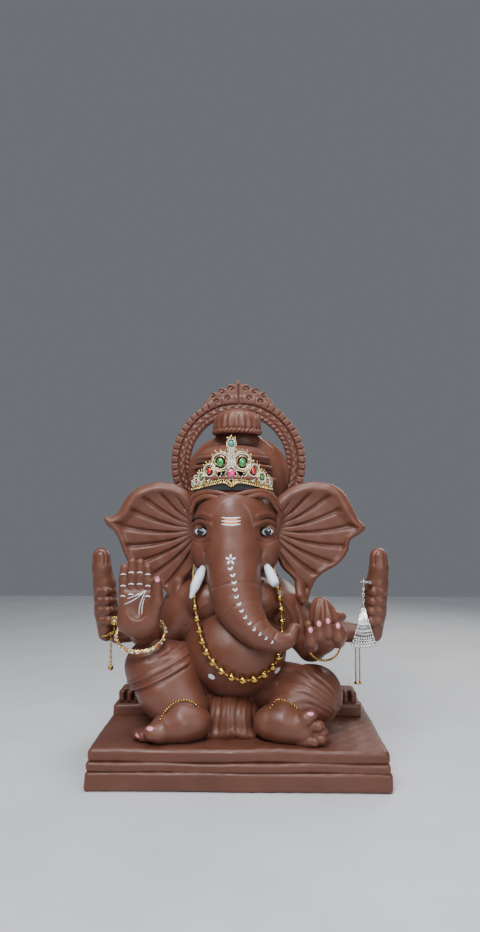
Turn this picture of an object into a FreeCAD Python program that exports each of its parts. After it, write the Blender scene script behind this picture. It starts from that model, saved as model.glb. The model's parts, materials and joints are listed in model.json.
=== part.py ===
"""Seated four-armed ganesha idol of hand-modelled terracotta clay, with its put-on ornaments.

Frame: millimetres, +Z up, -Y towards the viewer, the idol's own right hand at -X.  The origin is on the
underside of the base slab, below the middle of the whole object.
"""
import FreeCAD, Part
import math
import os
import Sketcher

Vector = FreeCAD.Vector
UP = Vector(0, 0, 1)

doc = FreeCAD.newDocument("ganesha_idol")
sheet = doc.addObject("Spreadsheet::Sheet", "Sizes")

# ---------------------------------------------------------------------------------------------------
# Driving dimensions
# ---------------------------------------------------------------------------------------------------
SIZES = {
    # base slab and the ledge behind the figure
    "slab_width": 322, "slab_depth": 210, "slab_edge": 5,
    "bottom_layer": 19.5, "middle_layer": 9, "top_layer": 13.5,
    "middle_inset": 1.5, "top_inset": 2.5,
    "ledge_width": 300, "ledge_depth": 46, "ledge_front": 20, "ledge_step": 5,
    "lower_ledge": 15, "upper_ledge": 14, "ledge_slot_width": 4, "ledge_slot_pitch": 9,
    "ledge_slot_depth": 12, "ledge_slot_inset": 9,
    # trunk of the body
    "torso_half_width": 60, "torso_half_depth": 42, "torso_half_height": 104,
    "belly_half_width": 60, "belly_half_depth": 55, "belly_half_height": 54,
    "breast_radius": 24, "neck_radius": 33,
    "drape_width": 60, "drape_depth": 52, "drape_height": 30, "drape_edge": 9,
    # legs
    "hip_radius": 33, "right_knee_radius": 29, "right_ankle_radius": 23,
    "left_knee_radius": 31, "left_ankle_radius": 21,
    "heel_radius": 16, "instep_radius": 15, "ball_radius": 12.5, "great_toe_radius": 7, "toe_radius": 5.4,
    "toe_pitch": 5, "toe_start": 10, "toe_root_reach": 3, "toe_reach": 17, "toe_shortening": 1.2,
    # arms and hands
    "shoulder_radius": 26, "rear_shoulder_radius": 22, "elbow_radius": 17, "wrist_radius": 13,
    "rear_elbow_radius": 15, "rear_wrist_radius": 11,
    "palm_half_width": 23, "palm_half_depth": 9.5, "palm_half_height": 25, "finger_radius": 5.6,
    "fist_radius": 14, "fist_finger_radius": 6.6, "fist_finger_pitch": 12.6,
    "fist_finger_reach": 7.4, "raised_thumb_radius": 10,
    "cupped_half_width": 24, "cupped_half_depth": 21, "cupped_half_height": 9,
    "modak_radius": 13.5, "modak_height": 32,
    # head
    "head_half_width": 50, "head_half_depth": 45, "head_half_height": 60,
    "trunk_root_radius": 31, "trunk_bridge_radius": 29, "trunk_middle_radius": 27,
    "trunk_bend_radius": 23, "trunk_low_radius": 15, "trunk_tip_radius": 9,
    "ear_thickness": 11, "ear_corner": 4.5, "eye_radius": 8.5,
    "tusk_root_radius": 6.5, "tusk_tip_radius": 2.2, "broken_tusk_radius": 5,
    "curl_radius": 6,
    # crown and halo
    "crown_x": -9, "crown_y": 6, "crown_foot": 301, "halo_front": 38, "halo_thickness": 14,
    "base_band_radius": 51.5, "base_band_height": 31,
    "middle_tier_radius": 47, "middle_tier_height": 18, "tier_taper": 5,
    "dome_height": 17, "dome_edge": 11, "crown_neck_radius": 58, "crown_neck_front": 12, "crown_neck_z": 328,
    "canopy_x": -4, "canopy_y": 22, "canopy_foot": 384, "canopy_height": 32, "canopy_radius": 29,
    "canopy_waist": 14, "rope_radius": 4,
    "halo_x": -3, "halo_z": 350, "halo_outer": 85, "halo_inner": 64,
    "crest_half_width": 41, "crest_top": 457, "crest_thickness": 9,
    # hidden armature
    "dowel_radius": 5, "wire_radius": 1.6, "halo_pin_radius": 2, "halo_pin_length": 18,
    # tiara
    "tiara_inner": 53.2, "tiara_plate": 1.4, "tiara_low": 313, "tiara_half_width": 47,
    "tiara_end_height": 9, "tiara_peak_height": 58, "tiara_shoulder_height": 27,
    "lining_inner": 51.9, "lining_height": 12,
    "centre_stone_radius": 5, "peak_stone_radius": 3.5, "small_stone_radius": 1.7, "stone_depth": 2.4,
    # bangles, bracelet, drops, anklets
    "right_bangle_radius": 27, "right_bangle_tube": 2.9, "left_bangle_radius": 20, "left_bangle_tube": 1.5,
    "bracelet_radius": 18.5, "bracelet_tube": 1.7,
    "drop_eye_radius": 2.6, "drop_wire": 0.7, "drop_length": 42, "rosette_radius": 5, "drop_ball": 3.2,
    "peg_radius": 1.5, "peg_length": 11, "pendant_eye_radius": 3.4,
    "pendant_chain": 30, "fan_height": 44, "fan_half_width": 15, "fan_thickness": 1.6,
    "strand_length": 40, "strand_gap": 5, "strand_wire": 0.8, "pendant_bar_half": 5, "pendant_bar_radius": 2,
    "anklet_tube": 1.5, "right_anklet_radius": 23.5, "left_anklet_radius": 22,
    # necklace
    "cord_diameter": 1.6, "bead_diameter": 6.7, "bead_pitch": 13,
}

# The figure's skeleton and outline points: x, y, z of each named place.
PLACES = {
    "torso_middle": (-8, -2, 138), "belly_middle": (-11, -18, 128),
    "right_breast": (-35, -28, 186), "left_breast": (22, -28, 188),
    "neck_low": (-8, 2, 212), "neck_high": (-7, 0, 240),
    "right_hip": (-38, 0, 76), "right_knee": (-99, -36, 115), "right_ankle": (-72, -56, 68),
    "left_hip": (24, 0, 74), "left_knee": (84, -36, 82), "left_ankle": (52, -58, 66),
    "right_heel": (-44, -70, 58), "right_instep": (-66, -72, 58), "right_ball": (-92, -74, 52),
    "left_heel": (26, -72, 58), "left_instep": (48, -74, 58), "left_ball": (74, -76, 54),
    "front_right_shoulder": (-62, -2, 178), "front_right_elbow": (-95, -8, 136),
    "front_right_wrist": (-110, -50, 152), "front_right_palm_heel": (-110, -60, 166),
    "front_left_shoulder": (50, -2, 172), "front_left_elbow": (84, -6, 130),
    "front_left_wrist": (96, -52, 145),
    "rear_right_shoulder": (-58, 16, 196), "rear_right_elbow": (-108, 22, 146),
    "rear_right_wrist": (-148, 11, 140), "rear_right_fist_low": (-160, 4, 168),
    "rear_right_fist_high": (-163, 3, 202), "rear_right_thumb": (-166.5, 2, 237),
    "rear_left_shoulder": (46, 16, 190), "rear_left_elbow": (104, 22, 146),
    "rear_left_wrist": (146, 12, 142), "rear_left_fist_low": (158, 5, 168),
    "rear_left_fist_high": (163, 4, 202), "rear_left_thumb": (165, 3, 237),
    "right_palm": (-110, -66, 182), "cupped_palm": (97, -72, 158), "modak_seat": (92, -72, 164),
    "head_middle": (-6, -8, 268),
    "trunk_root": (-8, -22, 282), "trunk_bridge": (-8, -36, 250), "trunk_middle": (-8, -44, 218),
    "trunk_bend": (-1, -58, 184), "trunk_low": (22, -78, 156), "trunk_tip": (46, -84, 150),
    "trunk_curl": (56, -80, 164),
    "right_eye": (-45, -31, 266), "left_eye": (33, -31, 266),
    "right_tusk_root": (-42, -38, 226), "right_tusk_tip": (-53, -64, 191),
    "left_tusk_root": (26, -38, 228), "left_tusk_tip": (37, -56, 209),
    "right_curls_high": (-56, -16, 300), "right_curls_low": (-52, -20, 286),
    "left_curls_high": (43, -16, 300), "left_curls_low": (40, -20, 286),
    "pendant_peg": (152, -13, 206), "drop_eye": (-150.4, -16, 146),
    "right_anklet": (-61, -61, 62), "left_anklet": (50, -62, 62),
    "spine_low": (-8, 2, 50), "spine_high": (-8, 2, 300),
}

# Fingers: sideways step of root and tip from the palm's middle, and the height of the tip above it.
OPEN_FINGERS = ((-16.5, -17.5, 41), (-6, -7, 47), (4.5, 3.5, 48), (14, 12.5, 43))
CURLED_FINGERS = ((-13, -17, 9), (-6, -9, 15), (2, 0, 18), (10, 10, 12))
FIST_FINGERS = 4
TOES = 5


def add_finger_places():
    """Name the root and tip of every finger, from the palm that carries it."""
    x, y, z = PLACES["right_palm"]
    for number, (root, tip, rise) in enumerate(OPEN_FINGERS):
        PLACES[f"right_finger_root_{number}"] = (x + root, y, z + 10)
        PLACES[f"right_finger_tip_{number}"] = (x + tip, y - 1, z + rise)
    PLACES["right_thumb_root"] = (x + 15, y - 1, z - 3)
    PLACES["right_thumb_tip"] = (x + 20, y - 4, z + 30)
    x, y, z = PLACES["cupped_palm"]
    for number, (root, tip, rise) in enumerate(CURLED_FINGERS):
        PLACES[f"left_finger_root_{number}"] = (x + root, y - 15, z - 2)
        PLACES[f"left_finger_tip_{number}"] = (x + tip, y - 17, z + rise)
    PLACES["left_thumb_root"] = (x + 18, y + 2, z + 2)
    PLACES["left_thumb_tip"] = (x + 20, y - 3, z + 16)
    for side, outward in (("right", -1), ("left", 1)):
        x, y, z = PLACES[f"{side}_ball"]
        for number in range(TOES):
            step = SIZES["toe_pitch"] * number - SIZES["toe_start"]
            reach = SIZES["toe_reach"] - SIZES["toe_shortening"] * number
            PLACES[f"{side}_toe_root_{number}"] = (x + outward * SIZES["toe_root_reach"], y + step, z)
            PLACES[f"{side}_toe_tip_{number}"] = (x + outward * reach, y + step - 1, z - 2)
    for side in ("right", "left"):
        x, y, z = PLACES[f"rear_{side}_fist_low"]
        lean = PLACES[f"rear_{side}_fist_high"][0] - x
        for number in range(FIST_FINGERS):
            middle = x + lean * number / (FIST_FINGERS - 1)
            height = z - 4 + SIZES["fist_finger_pitch"] * number
            reach = SIZES["fist_finger_reach"]
            PLACES[f"rear_{side}_finger_in_{number}"] = (middle - reach, y - 8, height)
            PLACES[f"rear_{side}_finger_out_{number}"] = (middle + reach, y - 8, height)


add_finger_places()

# Ear outlines, from the root at the crown out to the tip and back along the lobe: x, z.
EARS = {
    "right_ear": ((-44, 300), (-66, 315), (-100, 322), (-126, 308), (-160, 280), (-146, 254), (-136, 234),
                  (-106, 214), (-84, 182), (-72, 181), (-66, 212), (-46, 226)),
    "left_ear": ((33, 300), (58, 315), (94, 322), (122, 304), (146, 270), (134, 240), (104, 216),
                 (88, 206), (76, 180), (64, 181), (58, 212), (36, 226)),
}
EAR_SWEEP = 6  # degrees each ear plate is turned forward about its root

# Hand-set route of the necklace cord: from the right ear's face, down behind the tusk, round the belly,
# up beside the trunk and back to the left ear's face.
NECKLACE = (
    (-52, -3.5, 238), (-53, -22, 230), (-53, -40, 215), (-51, -50.5, 196), (-48, -54.5, 175),
    (-43, -61.5, 155), (-36, -73, 137), (-24, -77.5, 121), (-8, -76.3, 110), (10, -70.8, 105),
    (28, -63, 109.5), (41.5, -53, 121), (48, -49, 138), (48, -47, 158), (47.5, -46.2, 178),
    (44.5, -42.5, 198), (40.5, -35, 216), (39.5, -21, 231), (39, -3.5, 239),
)
FIRST_BEAD = 66  # distance along the cord from its right end to the first bead
BEADS = 21


def fill_sheet():
    """Write every driving number to the sheet under its own alias."""
    rows = list(SIZES.items())
    for place, coordinates in PLACES.items():
        rows += [(f"{place}_{axis}", value) for axis, value in zip("xyz", coordinates)]
    for number, (alias, value) in enumerate(rows, start=1):
        sheet.set(f"A{number}", alias)
        sheet.set(f"B{number}", str(value))
        sheet.setAlias(f"B{number}", alias)
    doc.recompute()


fill_sheet()


def size(alias):
    """The sheet's value for one alias."""
    return float(sheet.get(alias))


def place(name):
    """The sheet's point for one named place."""
    return Vector(*(size(f"{name}_{axis}") for axis in "xyz"))


def bind(thing, **expressions):
    """Bind properties to the sheet: every word that is an alias is read as Sizes.alias."""
    for path, text in expressions.items():
        thing.setExpression(path.replace("__", "."), in_sheet(text))


def in_sheet(text):
    words = []
    for word in text.split():
        words.append(f"Sizes.{word}" if word in ALIASES else word)
    return " ".join(words)


ALIASES = set(SIZES) | {f"{name}_{axis}" for name in PLACES for axis in "xyz"}


def bind_base(thing, name):
    """Put an object's placement base on a named place."""
    for axis in "xyz":
        thing.setExpression(f".Placement.Base.{axis}", f"Sizes.{name}_{axis}")


# ---------------------------------------------------------------------------------------------------
# Building blocks
# ---------------------------------------------------------------------------------------------------
def origin_plane(body, role):
    return next(plane for plane in body.Origin.OriginFeatures if plane.Role == role)


def sketch_in(body, name, role):
    sketch = body.newObject("Sketcher::SketchObject", name)
    sketch.AttachmentSupport = [(origin_plane(body, role), "")]
    sketch.MapMode = "FlatFace"
    return sketch


def outline(sketch, corners):
    """Closed straight outline; corners are pairs of expressions, bound to the sketch's axes."""
    values = [(evaluate(across), evaluate(along)) for across, along in corners]
    count = len(values)
    for i in range(count):
        start, end = values[i], values[(i + 1) % count]
        sketch.addGeometry(Part.LineSegment(Vector(*start, 0), Vector(*end, 0)), False)
    for i in range(count):
        sketch.addConstraint(Sketcher.Constraint("Coincident", i, 2, (i + 1) % count, 1))
    for i, pair in enumerate(corners):
        for kind, value, text in zip(("DistanceX", "DistanceY"), values[i], pair):
            number = sketch.addConstraint(Sketcher.Constraint(kind, -1, 1, i, 1, value))
            sketch.setExpression(f"Constraints[{number}]", in_sheet(text))


def evaluate(text):
    """The value of an expression of aliases, numbers, + - * / and brackets."""
    return float(sheet.evalExpression(in_sheet(text)))


def revolve(body, sketch, name):
    turned = body.newObject("PartDesign::Revolution", name)
    turned.Profile = sketch
    turned.ReferenceAxis = (sketch, ["V_Axis"])
    turned.Angle = 360
    return turned


def bone(name, start, end, start_radius, end_radius):
    """A round-ended tapered limb between two named places."""
    body = doc.addObject("PartDesign::Body", name)
    sketch = sketch_in(body, f"{name}_profile", "XZ_Plane")
    length = (place(end) - place(start)).Length
    low, high = evaluate(start_radius), evaluate(end_radius)
    foot = Part.Circle(Vector(0, 0, 0), Vector(0, 0, 1), low)
    head = Part.Circle(Vector(0, length, 0), Vector(0, 0, 1), high)
    sketch.addGeometry(Part.ArcOfCircle(foot, -math.pi / 2, 0), False)
    sketch.addGeometry(Part.LineSegment(Vector(low, 0, 0), Vector(high, length, 0)), False)
    sketch.addGeometry(Part.ArcOfCircle(head, 0, math.pi / 2), False)
    sketch.addGeometry(Part.LineSegment(Vector(0, length + high, 0), Vector(0, -low, 0)), False)
    for first, first_end, second, second_end in ((0, 2, 1, 1), (1, 2, 2, 1), (2, 2, 3, 1), (3, 2, 0, 1)):
        sketch.addConstraint(Sketcher.Constraint("Coincident", first, first_end, second, second_end))
    sketch.addConstraint(Sketcher.Constraint("Coincident", 0, 3, -1, 1))
    sketch.addConstraint(Sketcher.Constraint("PointOnObject", 2, 3, -2))
    sketch.addConstraint(Sketcher.Constraint("PointOnObject", 3, 1, -2))
    sketch.addConstraint(Sketcher.Constraint("PointOnObject", 3, 2, -2))
    sketch.addConstraint(Sketcher.Constraint("Horizontal", -1, 1, 0, 2))
    sketch.addConstraint(Sketcher.Constraint("Horizontal", 2, 3, 2, 1))
    for number, text in ((sketch.addConstraint(Sketcher.Constraint("Radius", 0, low)), start_radius),
                         (sketch.addConstraint(Sketcher.Constraint("Radius", 2, high)), end_radius)):
        sketch.setExpression(f"Constraints[{number}]", in_sheet(text))
    number = sketch.addConstraint(Sketcher.Constraint("DistanceY", -1, 1, 2, 3, length))
    spans = " + ".join(f"pow(Sizes.{end}_{axis} - Sizes.{start}_{axis}; 2)" for axis in "xyz")
    sketch.setExpression(f"Constraints[{number}]", f"sqrt({spans})")
    revolve(body, sketch, f"{name}_turned")
    body.Placement = FreeCAD.Placement(place(start), FreeCAD.Rotation(UP, place(end) - place(start)))
    bind_base(body, start)
    return body


def ball(name, centre, radius):
    sphere = doc.addObject("Part::Sphere", name)
    bind(sphere, Radius=radius)
    bind_base(sphere, centre)
    return sphere


def lump(name, centre, across, deep, tall):
    """Ellipsoid of clay about a named place."""
    solid = doc.addObject("Part::Ellipsoid", name)
    solid.Angle1 = -90
    solid.Angle2 = 90
    solid.Angle3 = 360
    bind(solid, Radius1=tall, Radius2=across, Radius3=deep)
    bind_base(solid, centre)
    return solid


def block(name, width, depth, height, x, y, z, edge=None):
    """Box centred on x, from y and z upwards, its edges rounded by edge."""
    box = doc.addObject("Part::Box", name if edge is None else f"{name}_raw")
    bind(box, Length=width, Width=depth, Height=height)
    box.setExpression(".Placement.Base.x", in_sheet(f"{x} - ( {width} ) / 2"))
    box.setExpression(".Placement.Base.y", in_sheet(y))
    box.setExpression(".Placement.Base.z", in_sheet(z))
    if edge is None:
        return box
    doc.recompute()
    rounded = doc.addObject("Part::Fillet", name)
    rounded.Base = box
    upright = [number for number, line in enumerate(box.Shape.Edges, start=1)
               if abs(line.tangentAt(line.FirstParameter).z) > 0.9]
    rounded.Edges = [(number, size(edge), size(edge)) for number in upright]
    return rounded


def ring(name, centre, axis, radius, tube):
    """Torus about a point, turned so that its own axis lies along axis."""
    torus = doc.addObject("Part::Torus", name)
    bind(torus, Radius1=radius, Radius2=tube)
    torus.Placement = FreeCAD.Placement(centre, FreeCAD.Rotation(UP, axis))
    return torus


def joined(name, pieces):
    union = doc.addObject("Part::MultiFuse", name)
    union.Shapes = list(pieces)
    return union


def less(name, base, *cutters):
    """The base with its neighbours' space taken away, one cut after another."""
    for number, cutter in enumerate(cutters, start=1):
        cut = doc.addObject("Part::Cut", name if number == len(cutters) else f"{name}_cut_{number}")
        cut.Base = base
        cut.Tool = cutter
        base = cut
    return base


def group(name, pieces):
    """Several separate solids kept together as one sub-part."""
    together = doc.addObject("Part::Compound", name)
    together.Links = list(pieces)
    return together


NODES = {}


def keep(label, thing):
    """Mark an object as a sub-part: its label is the name of its file."""
    thing.Label = label
    NODES[label] = thing
    return thing


# ---------------------------------------------------------------------------------------------------
# Base: three slabs of clay, and the stepped ledge behind the figure
# ---------------------------------------------------------------------------------------------------
def slab(name, inset, height, z):
    return block(name, f"slab_width - 2 * {inset}", f"slab_depth - 2 * {inset}", height,
                 "0", f"{inset} - slab_depth / 2", z, "slab_edge")


bottom = keep("base_bottom_layer", slab("bottom_slab", "0", "bottom_layer", "0"))
middle = keep("base_middle_layer", slab("middle_slab", "middle_inset", "middle_layer", "bottom_layer"))
top = keep("base_top_layer", slab("top_slab", "top_inset", "top_layer", "bottom_layer + middle_layer"))
FLOOR = "bottom_layer + middle_layer + top_layer"


def ledge_slots():
    """Two upright slots cut into the ledge's front at each end."""
    for side in (-1, 1):
        for turn in (0, 1):
            x = f"{side} * ( ledge_width / 2 - ledge_step - ledge_slot_inset - {turn} * ledge_slot_pitch )"
            yield block(f"ledge_slot_{turn}_{'right' if side < 0 else 'left'}", "ledge_slot_width",
                        "ledge_slot_depth", "upper_ledge", x, "ledge_front + ledge_step - 1",
                        f"{FLOOR} + lower_ledge")


lower_ledge = block("lower_ledge_block", "ledge_width", "ledge_depth", "lower_ledge",
                    "-4", "ledge_front", FLOOR, "slab_edge")
upper_ledge = block("upper_ledge_block", "ledge_width - 2 * ledge_step", "ledge_depth - 2 * ledge_step",
                    "upper_ledge", "-4", "ledge_front + ledge_step", f"{FLOOR} + lower_ledge")
upper_ledge = less("upper_ledge_slotted", upper_ledge, *ledge_slots())

# ---------------------------------------------------------------------------------------------------
# Body, legs and feet
# ---------------------------------------------------------------------------------------------------
BASE = (top,)
torso = keep("torso", less("torso_on_base", lump("torso_lump", "torso_middle", "torso_half_width",
                                                 "torso_half_depth", "torso_half_height"), *BASE))
lower_ledge = keep("rear_ledge_lower", less("ledge_low_fitted", lower_ledge, torso))
upper_ledge = keep("rear_ledge_upper", less("ledge_high_fitted", upper_ledge, torso))
belly = keep("belly", less("belly_on_torso", lump("belly_lump", "belly_middle", "belly_half_width",
                                                  "belly_half_depth", "belly_half_height"), torso))


def leg(side):
    """Thigh and shin of one leg: the knee's two ends differ a little, so one lies inside the other."""
    thigh = bone(f"{side}_thigh", f"{side}_hip", f"{side}_knee", "hip_radius", f"0.94 * {side}_knee_radius")
    shin = bone(f"{side}_shin", f"{side}_knee", f"{side}_ankle", f"{side}_knee_radius",
                f"{side}_ankle_radius")
    whole = joined(f"{side}_leg_whole", (thigh, shin))
    return keep(f"{side}_leg", less(f"{side}_leg_fitted", whole, *BASE, torso, belly, lower_ledge,
                                    upper_ledge))


def foot(side):
    """Heel to ball in two tapered lumps, then the great toe and a fan of small toes."""
    heel = bone(f"{side}_sole", f"{side}_heel", f"{side}_instep", "heel_radius", "0.97 * instep_radius")
    toes = []
    fore = bone(f"{side}_forefoot", f"{side}_instep", f"{side}_ball", "instep_radius", "ball_radius")
    for number in range(TOES):
        toes.append(bone(f"{side}_toe_{number}", f"{side}_toe_root_{number}", f"{side}_toe_tip_{number}",
                         "great_toe_radius" if number == 0 else "toe_radius", "toe_radius"))
    whole = joined(f"{side}_foot_whole", (heel, fore, *toes))
    return keep(f"{side}_foot", less(f"{side}_foot_fitted", whole, *BASE, NODES[f"{side}_leg"], belly))


right_leg = leg("right")
left_leg = leg("left")
right_foot = foot("right")
left_foot = foot("left")
drape = block("drape_block", "drape_width", "drape_depth", "drape_height", "torso_middle_x",
              "belly_middle_y - drape_depth", FLOOR, "drape_edge")
drape = keep("hip_drape", less("drape_fitted", drape, torso, belly, right_leg, left_leg, right_foot,
                               left_foot))
breasts = [less(f"{side}_breast_fitted", ball(f"{side}_breast_ball", f"{side}_breast", "breast_radius"),
                torso, belly) for side in ("right", "left")]
breasts = keep("breasts", group("breasts_pair", breasts))
neck = keep("neck_collar", less("neck_fitted", bone("neck_coil", "neck_low", "neck_high", "neck_radius",
                                                    "neck_radius"), torso, breasts))


# ---------------------------------------------------------------------------------------------------
# Head, ears, trunk, tusks and eyes
# ---------------------------------------------------------------------------------------------------
def ear(name, sign):
    """Flat plate of the ear's outline, rounded at its corners and turned forward about its root."""
    body = doc.addObject("PartDesign::Body", f"{name}_plate")
    sketch = sketch_in(body, f"{name}_outline", "XZ_Plane")
    points = EARS[name]
    root = points[0][0]
    outline(sketch, [(str(x - root), str(z)) for x, z in points])
    pad = body.newObject("PartDesign::Pad", f"{name}_pad")
    pad.Profile = sketch
    pad.Midplane = True
    bind(pad, Length="ear_thickness")
    doc.recompute()
    rounded = body.newObject("PartDesign::Fillet", f"{name}_rounded")
    upright = [f"Edge{number}" for number, edge in enumerate(pad.Shape.Edges, start=1)
               if abs(edge.tangentAt(edge.FirstParameter).y) > 0.9 and
               abs(edge.BoundBox.XMin) + abs(edge.BoundBox.XMax) > 30]
    rounded.Base = (pad, upright)
    bind(rounded, Radius="ear_corner")
    turn = FreeCAD.Rotation(UP, sign * EAR_SWEEP)
    body.Placement = FreeCAD.Placement(Vector(root, 2, 0), turn)
    return body


head = keep("head", less("head_fitted", lump("head_lump", "head_middle", "head_half_width",
                                             "head_half_depth", "head_half_height"), torso, neck))
for side in ("right", "left"):
    keep(f"{side}_eye", less(f"{side}_eye_on_head", ball(f"{side}_eyeball", f"{side}_eye", "eye_radius"),
                             head))
for name, sign in (("right_ear", 1), ("left_ear", -1)):
    keep(name, less(f"{name}_fitted", ear(name, sign), head, neck, torso))
right_ear = NODES["right_ear"]
left_ear = NODES["left_ear"]


trunk_bones = [
    bone("trunk_lump_1", "trunk_root", "trunk_bridge", "trunk_root_radius", "0.98 * trunk_bridge_radius"),
    bone("trunk_lump_2", "trunk_bridge", "trunk_middle", "trunk_bridge_radius", "0.98 * trunk_middle_radius"),
    bone("trunk_lump_3", "trunk_middle", "trunk_bend", "trunk_middle_radius", "0.98 * trunk_bend_radius"),
    bone("trunk_lump_4", "trunk_bend", "trunk_low", "trunk_bend_radius", "0.97 * trunk_low_radius"),
    bone("trunk_lump_5", "trunk_low", "trunk_tip", "trunk_low_radius", "0.97 * trunk_tip_radius"),
    bone("trunk_lump_6", "trunk_tip", "trunk_curl", "trunk_tip_radius", "0.8 * trunk_tip_radius"),
]
trunk = keep("trunk", less("trunk_fitted", joined("trunk_whole", trunk_bones), head, neck, torso, belly,
                           breasts))


def tusk(side, tip_radius):
    horn = bone(f"{side}_tusk_horn", f"{side}_tusk_root", f"{side}_tusk_tip", "tusk_root_radius", tip_radius)
    return keep(f"{side}_tusk", less(f"{side}_tusk_fitted", horn, trunk, head, NODES[f"{side}_ear"]))


right_tusk = tusk("right", "tusk_tip_radius")
left_tusk = tusk("left", "broken_tusk_radius")

# ---------------------------------------------------------------------------------------------------
# Crown and halo
# ---------------------------------------------------------------------------------------------------
def drum(name, radius, top_radius, height, z):
    """Round tapered tier of the crown, standing on the crown's own axis."""
    tier = doc.addObject("Part::Cone", f"{name}_cone")
    bind(tier, Radius1=radius, Radius2=top_radius, Height=height)
    for axis, text in (("x", "crown_x"), ("y", "crown_y"), ("z", z)):
        tier.setExpression(f".Placement.Base.{axis}", in_sheet(text))
    return tier


BEHIND = block("behind_halo_face", "4 * halo_outer", "4 * halo_outer", "slab_width", "0", "halo_front",
               "crown_foot - 20")
band = drum("base_band", "base_band_radius", "base_band_radius - 1", "base_band_height", "crown_foot")
band = keep("crown_base_band", less("base_band_fitted", band, BEHIND, head, trunk, right_ear, left_ear))
TIER_Z = "crown_foot + base_band_height"
tier = drum("middle_tier", "middle_tier_radius", "middle_tier_radius - tier_taper", "middle_tier_height",
            TIER_Z)
tier = keep("crown_middle_tier", less("middle_tier_fitted", tier, BEHIND, head))
DOME_Z = f"{TIER_Z} + middle_tier_height"
dome = drum("dome", "middle_tier_radius - tier_taper - 1", "middle_tier_radius - 4 * tier_taper",
            "dome_height", DOME_Z)
dome = keep("crown_dome", less("dome_fitted", dome, BEHIND))


def halo_blank(name, radius, depth, inset):
    disc = doc.addObject("Part::Cylinder", name)
    bind(disc, Radius=radius, Height=depth)
    disc.Placement = FreeCAD.Placement(Vector(), FreeCAD.Rotation(Vector(1, 0, 0), -90))
    for axis, text in (("x", "halo_x"), ("y", f"halo_front + {inset}"), ("z", "halo_z")):
        disc.setExpression(f".Placement.Base.{axis}", in_sheet(text))
    return disc


ring_plate = less("halo_open", halo_blank("halo_disc", "halo_outer", "halo_thickness", "0"),
                  halo_blank("halo_hole", "halo_inner", "halo_thickness", "0"))
halo = keep("halo_ring", less("halo_fitted", ring_plate, torso, neck, right_ear, left_ear, head))

# The crown's rear mass closes the lower part of the halo's opening.
rear_mass = doc.addObject("Part::Cylinder", "rear_mass_disc")
bind(rear_mass, Radius="crown_neck_radius", Height="halo_front + halo_thickness - crown_neck_front")
rear_mass.Placement = FreeCAD.Placement(Vector(), FreeCAD.Rotation(Vector(1, 0, 0), -90))
for axis, text in (("x", "halo_x"), ("y", "crown_neck_front"), ("z", "crown_neck_z")):
    rear_mass.setExpression(f".Placement.Base.{axis}", in_sheet(text))
crown_neck = keep("crown_rear_mass", less("rear_mass_fitted", rear_mass, head, torso, neck, trunk, band,
                                          tier, dome, halo, right_ear, left_ear))


def canopy_bell():
    """Bell of the canopy: wide foot, narrow waist, round shoulder, turned about its own axis."""
    body = doc.addObject("PartDesign::Body", "canopy_bell")
    sketch = sketch_in(body, "canopy_profile", "XZ_Plane")
    outline(sketch, (("0", "0"), ("canopy_radius", "0"), ("canopy_radius", "canopy_height * 0.2"),
                     ("canopy_waist", "canopy_height * 0.62"), ("canopy_waist * 0.8", "canopy_height"),
                     ("0", "canopy_height")))
    revolve(body, sketch, "canopy_turned")
    for axis, text in (("x", "canopy_x"), ("y", "canopy_y"), ("z", "canopy_foot")):
        body.setExpression(f".Placement.Base.{axis}", in_sheet(text))
    return body


def crest_plate():
    """Flame-shaped crest standing on the top of the halo."""
    body = doc.addObject("PartDesign::Body", "crest_plate")
    sketch = sketch_in(body, "crest_outline", "XZ_Plane")
    side = (("crest_half_width", "halo_outer - 13"), ("crest_half_width * 0.92", "halo_outer - 1"),
            ("crest_half_width * 0.6", "halo_outer + 5"), ("crest_half_width * 0.34", "halo_outer + 11"),
            ("crest_half_width * 0.14", "halo_outer + 15"))
    mirrored = [(f"-1 * {across}", up) for across, up in reversed(side)]
    outline(sketch, (*side, ("0", "crest_top - halo_z"), *mirrored))
    pad = body.newObject("PartDesign::Pad", "crest_pad")
    pad.Profile = sketch
    bind(pad, Length="crest_thickness")
    for axis, text in (("x", "halo_x"), ("y", "halo_front + crest_thickness + 2"), ("z", "halo_z")):
        body.setExpression(f".Placement.Base.{axis}", in_sheet(text))
    return body


canopy = keep("crown_canopy", less("canopy_fitted", canopy_bell(), halo, crown_neck))
rope = ring("rope_coil", Vector(size("canopy_x"), size("canopy_y"), size("canopy_foot") - size("rope_radius")),
            UP, "canopy_radius - rope_radius", "rope_radius")
rope = keep("canopy_rope_rim", less("rope_fitted", rope, canopy, halo, crown_neck))
crest = keep("halo_crest", less("crest_fitted", crest_plate(), halo, canopy))
curls = [less(f"{side}_curls_fitted", bone(f"{side}_curls", f"{side}_curls_high", f"{side}_curls_low",
                                           "curl_radius", "curl_radius"),
              head, band, trunk, NODES[f"{side}_ear"], NODES[f"{side}_eye"])
         for side in ("right", "left")]
keep("temple_curls", group("temple_curls_pair", curls))


# ---------------------------------------------------------------------------------------------------
# Arms and hands
# ---------------------------------------------------------------------------------------------------
def arm(name, radii, *neighbours):
    """Upper arm and forearm; radii are those of shoulder, elbow and wrist."""
    shoulder, elbow, wrist = radii
    upper = bone(f"{name}_upper", f"{name}_shoulder", f"{name}_elbow", shoulder, f"0.95 * {elbow}")
    fore = bone(f"{name}_fore", f"{name}_elbow", f"{name}_wrist", elbow, wrist)
    whole = joined(f"{name}_arm_whole", (upper, fore))
    return keep(f"{name}_arm", less(f"{name}_arm_fitted", whole, torso, belly, breasts, neck, *neighbours))


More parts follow.
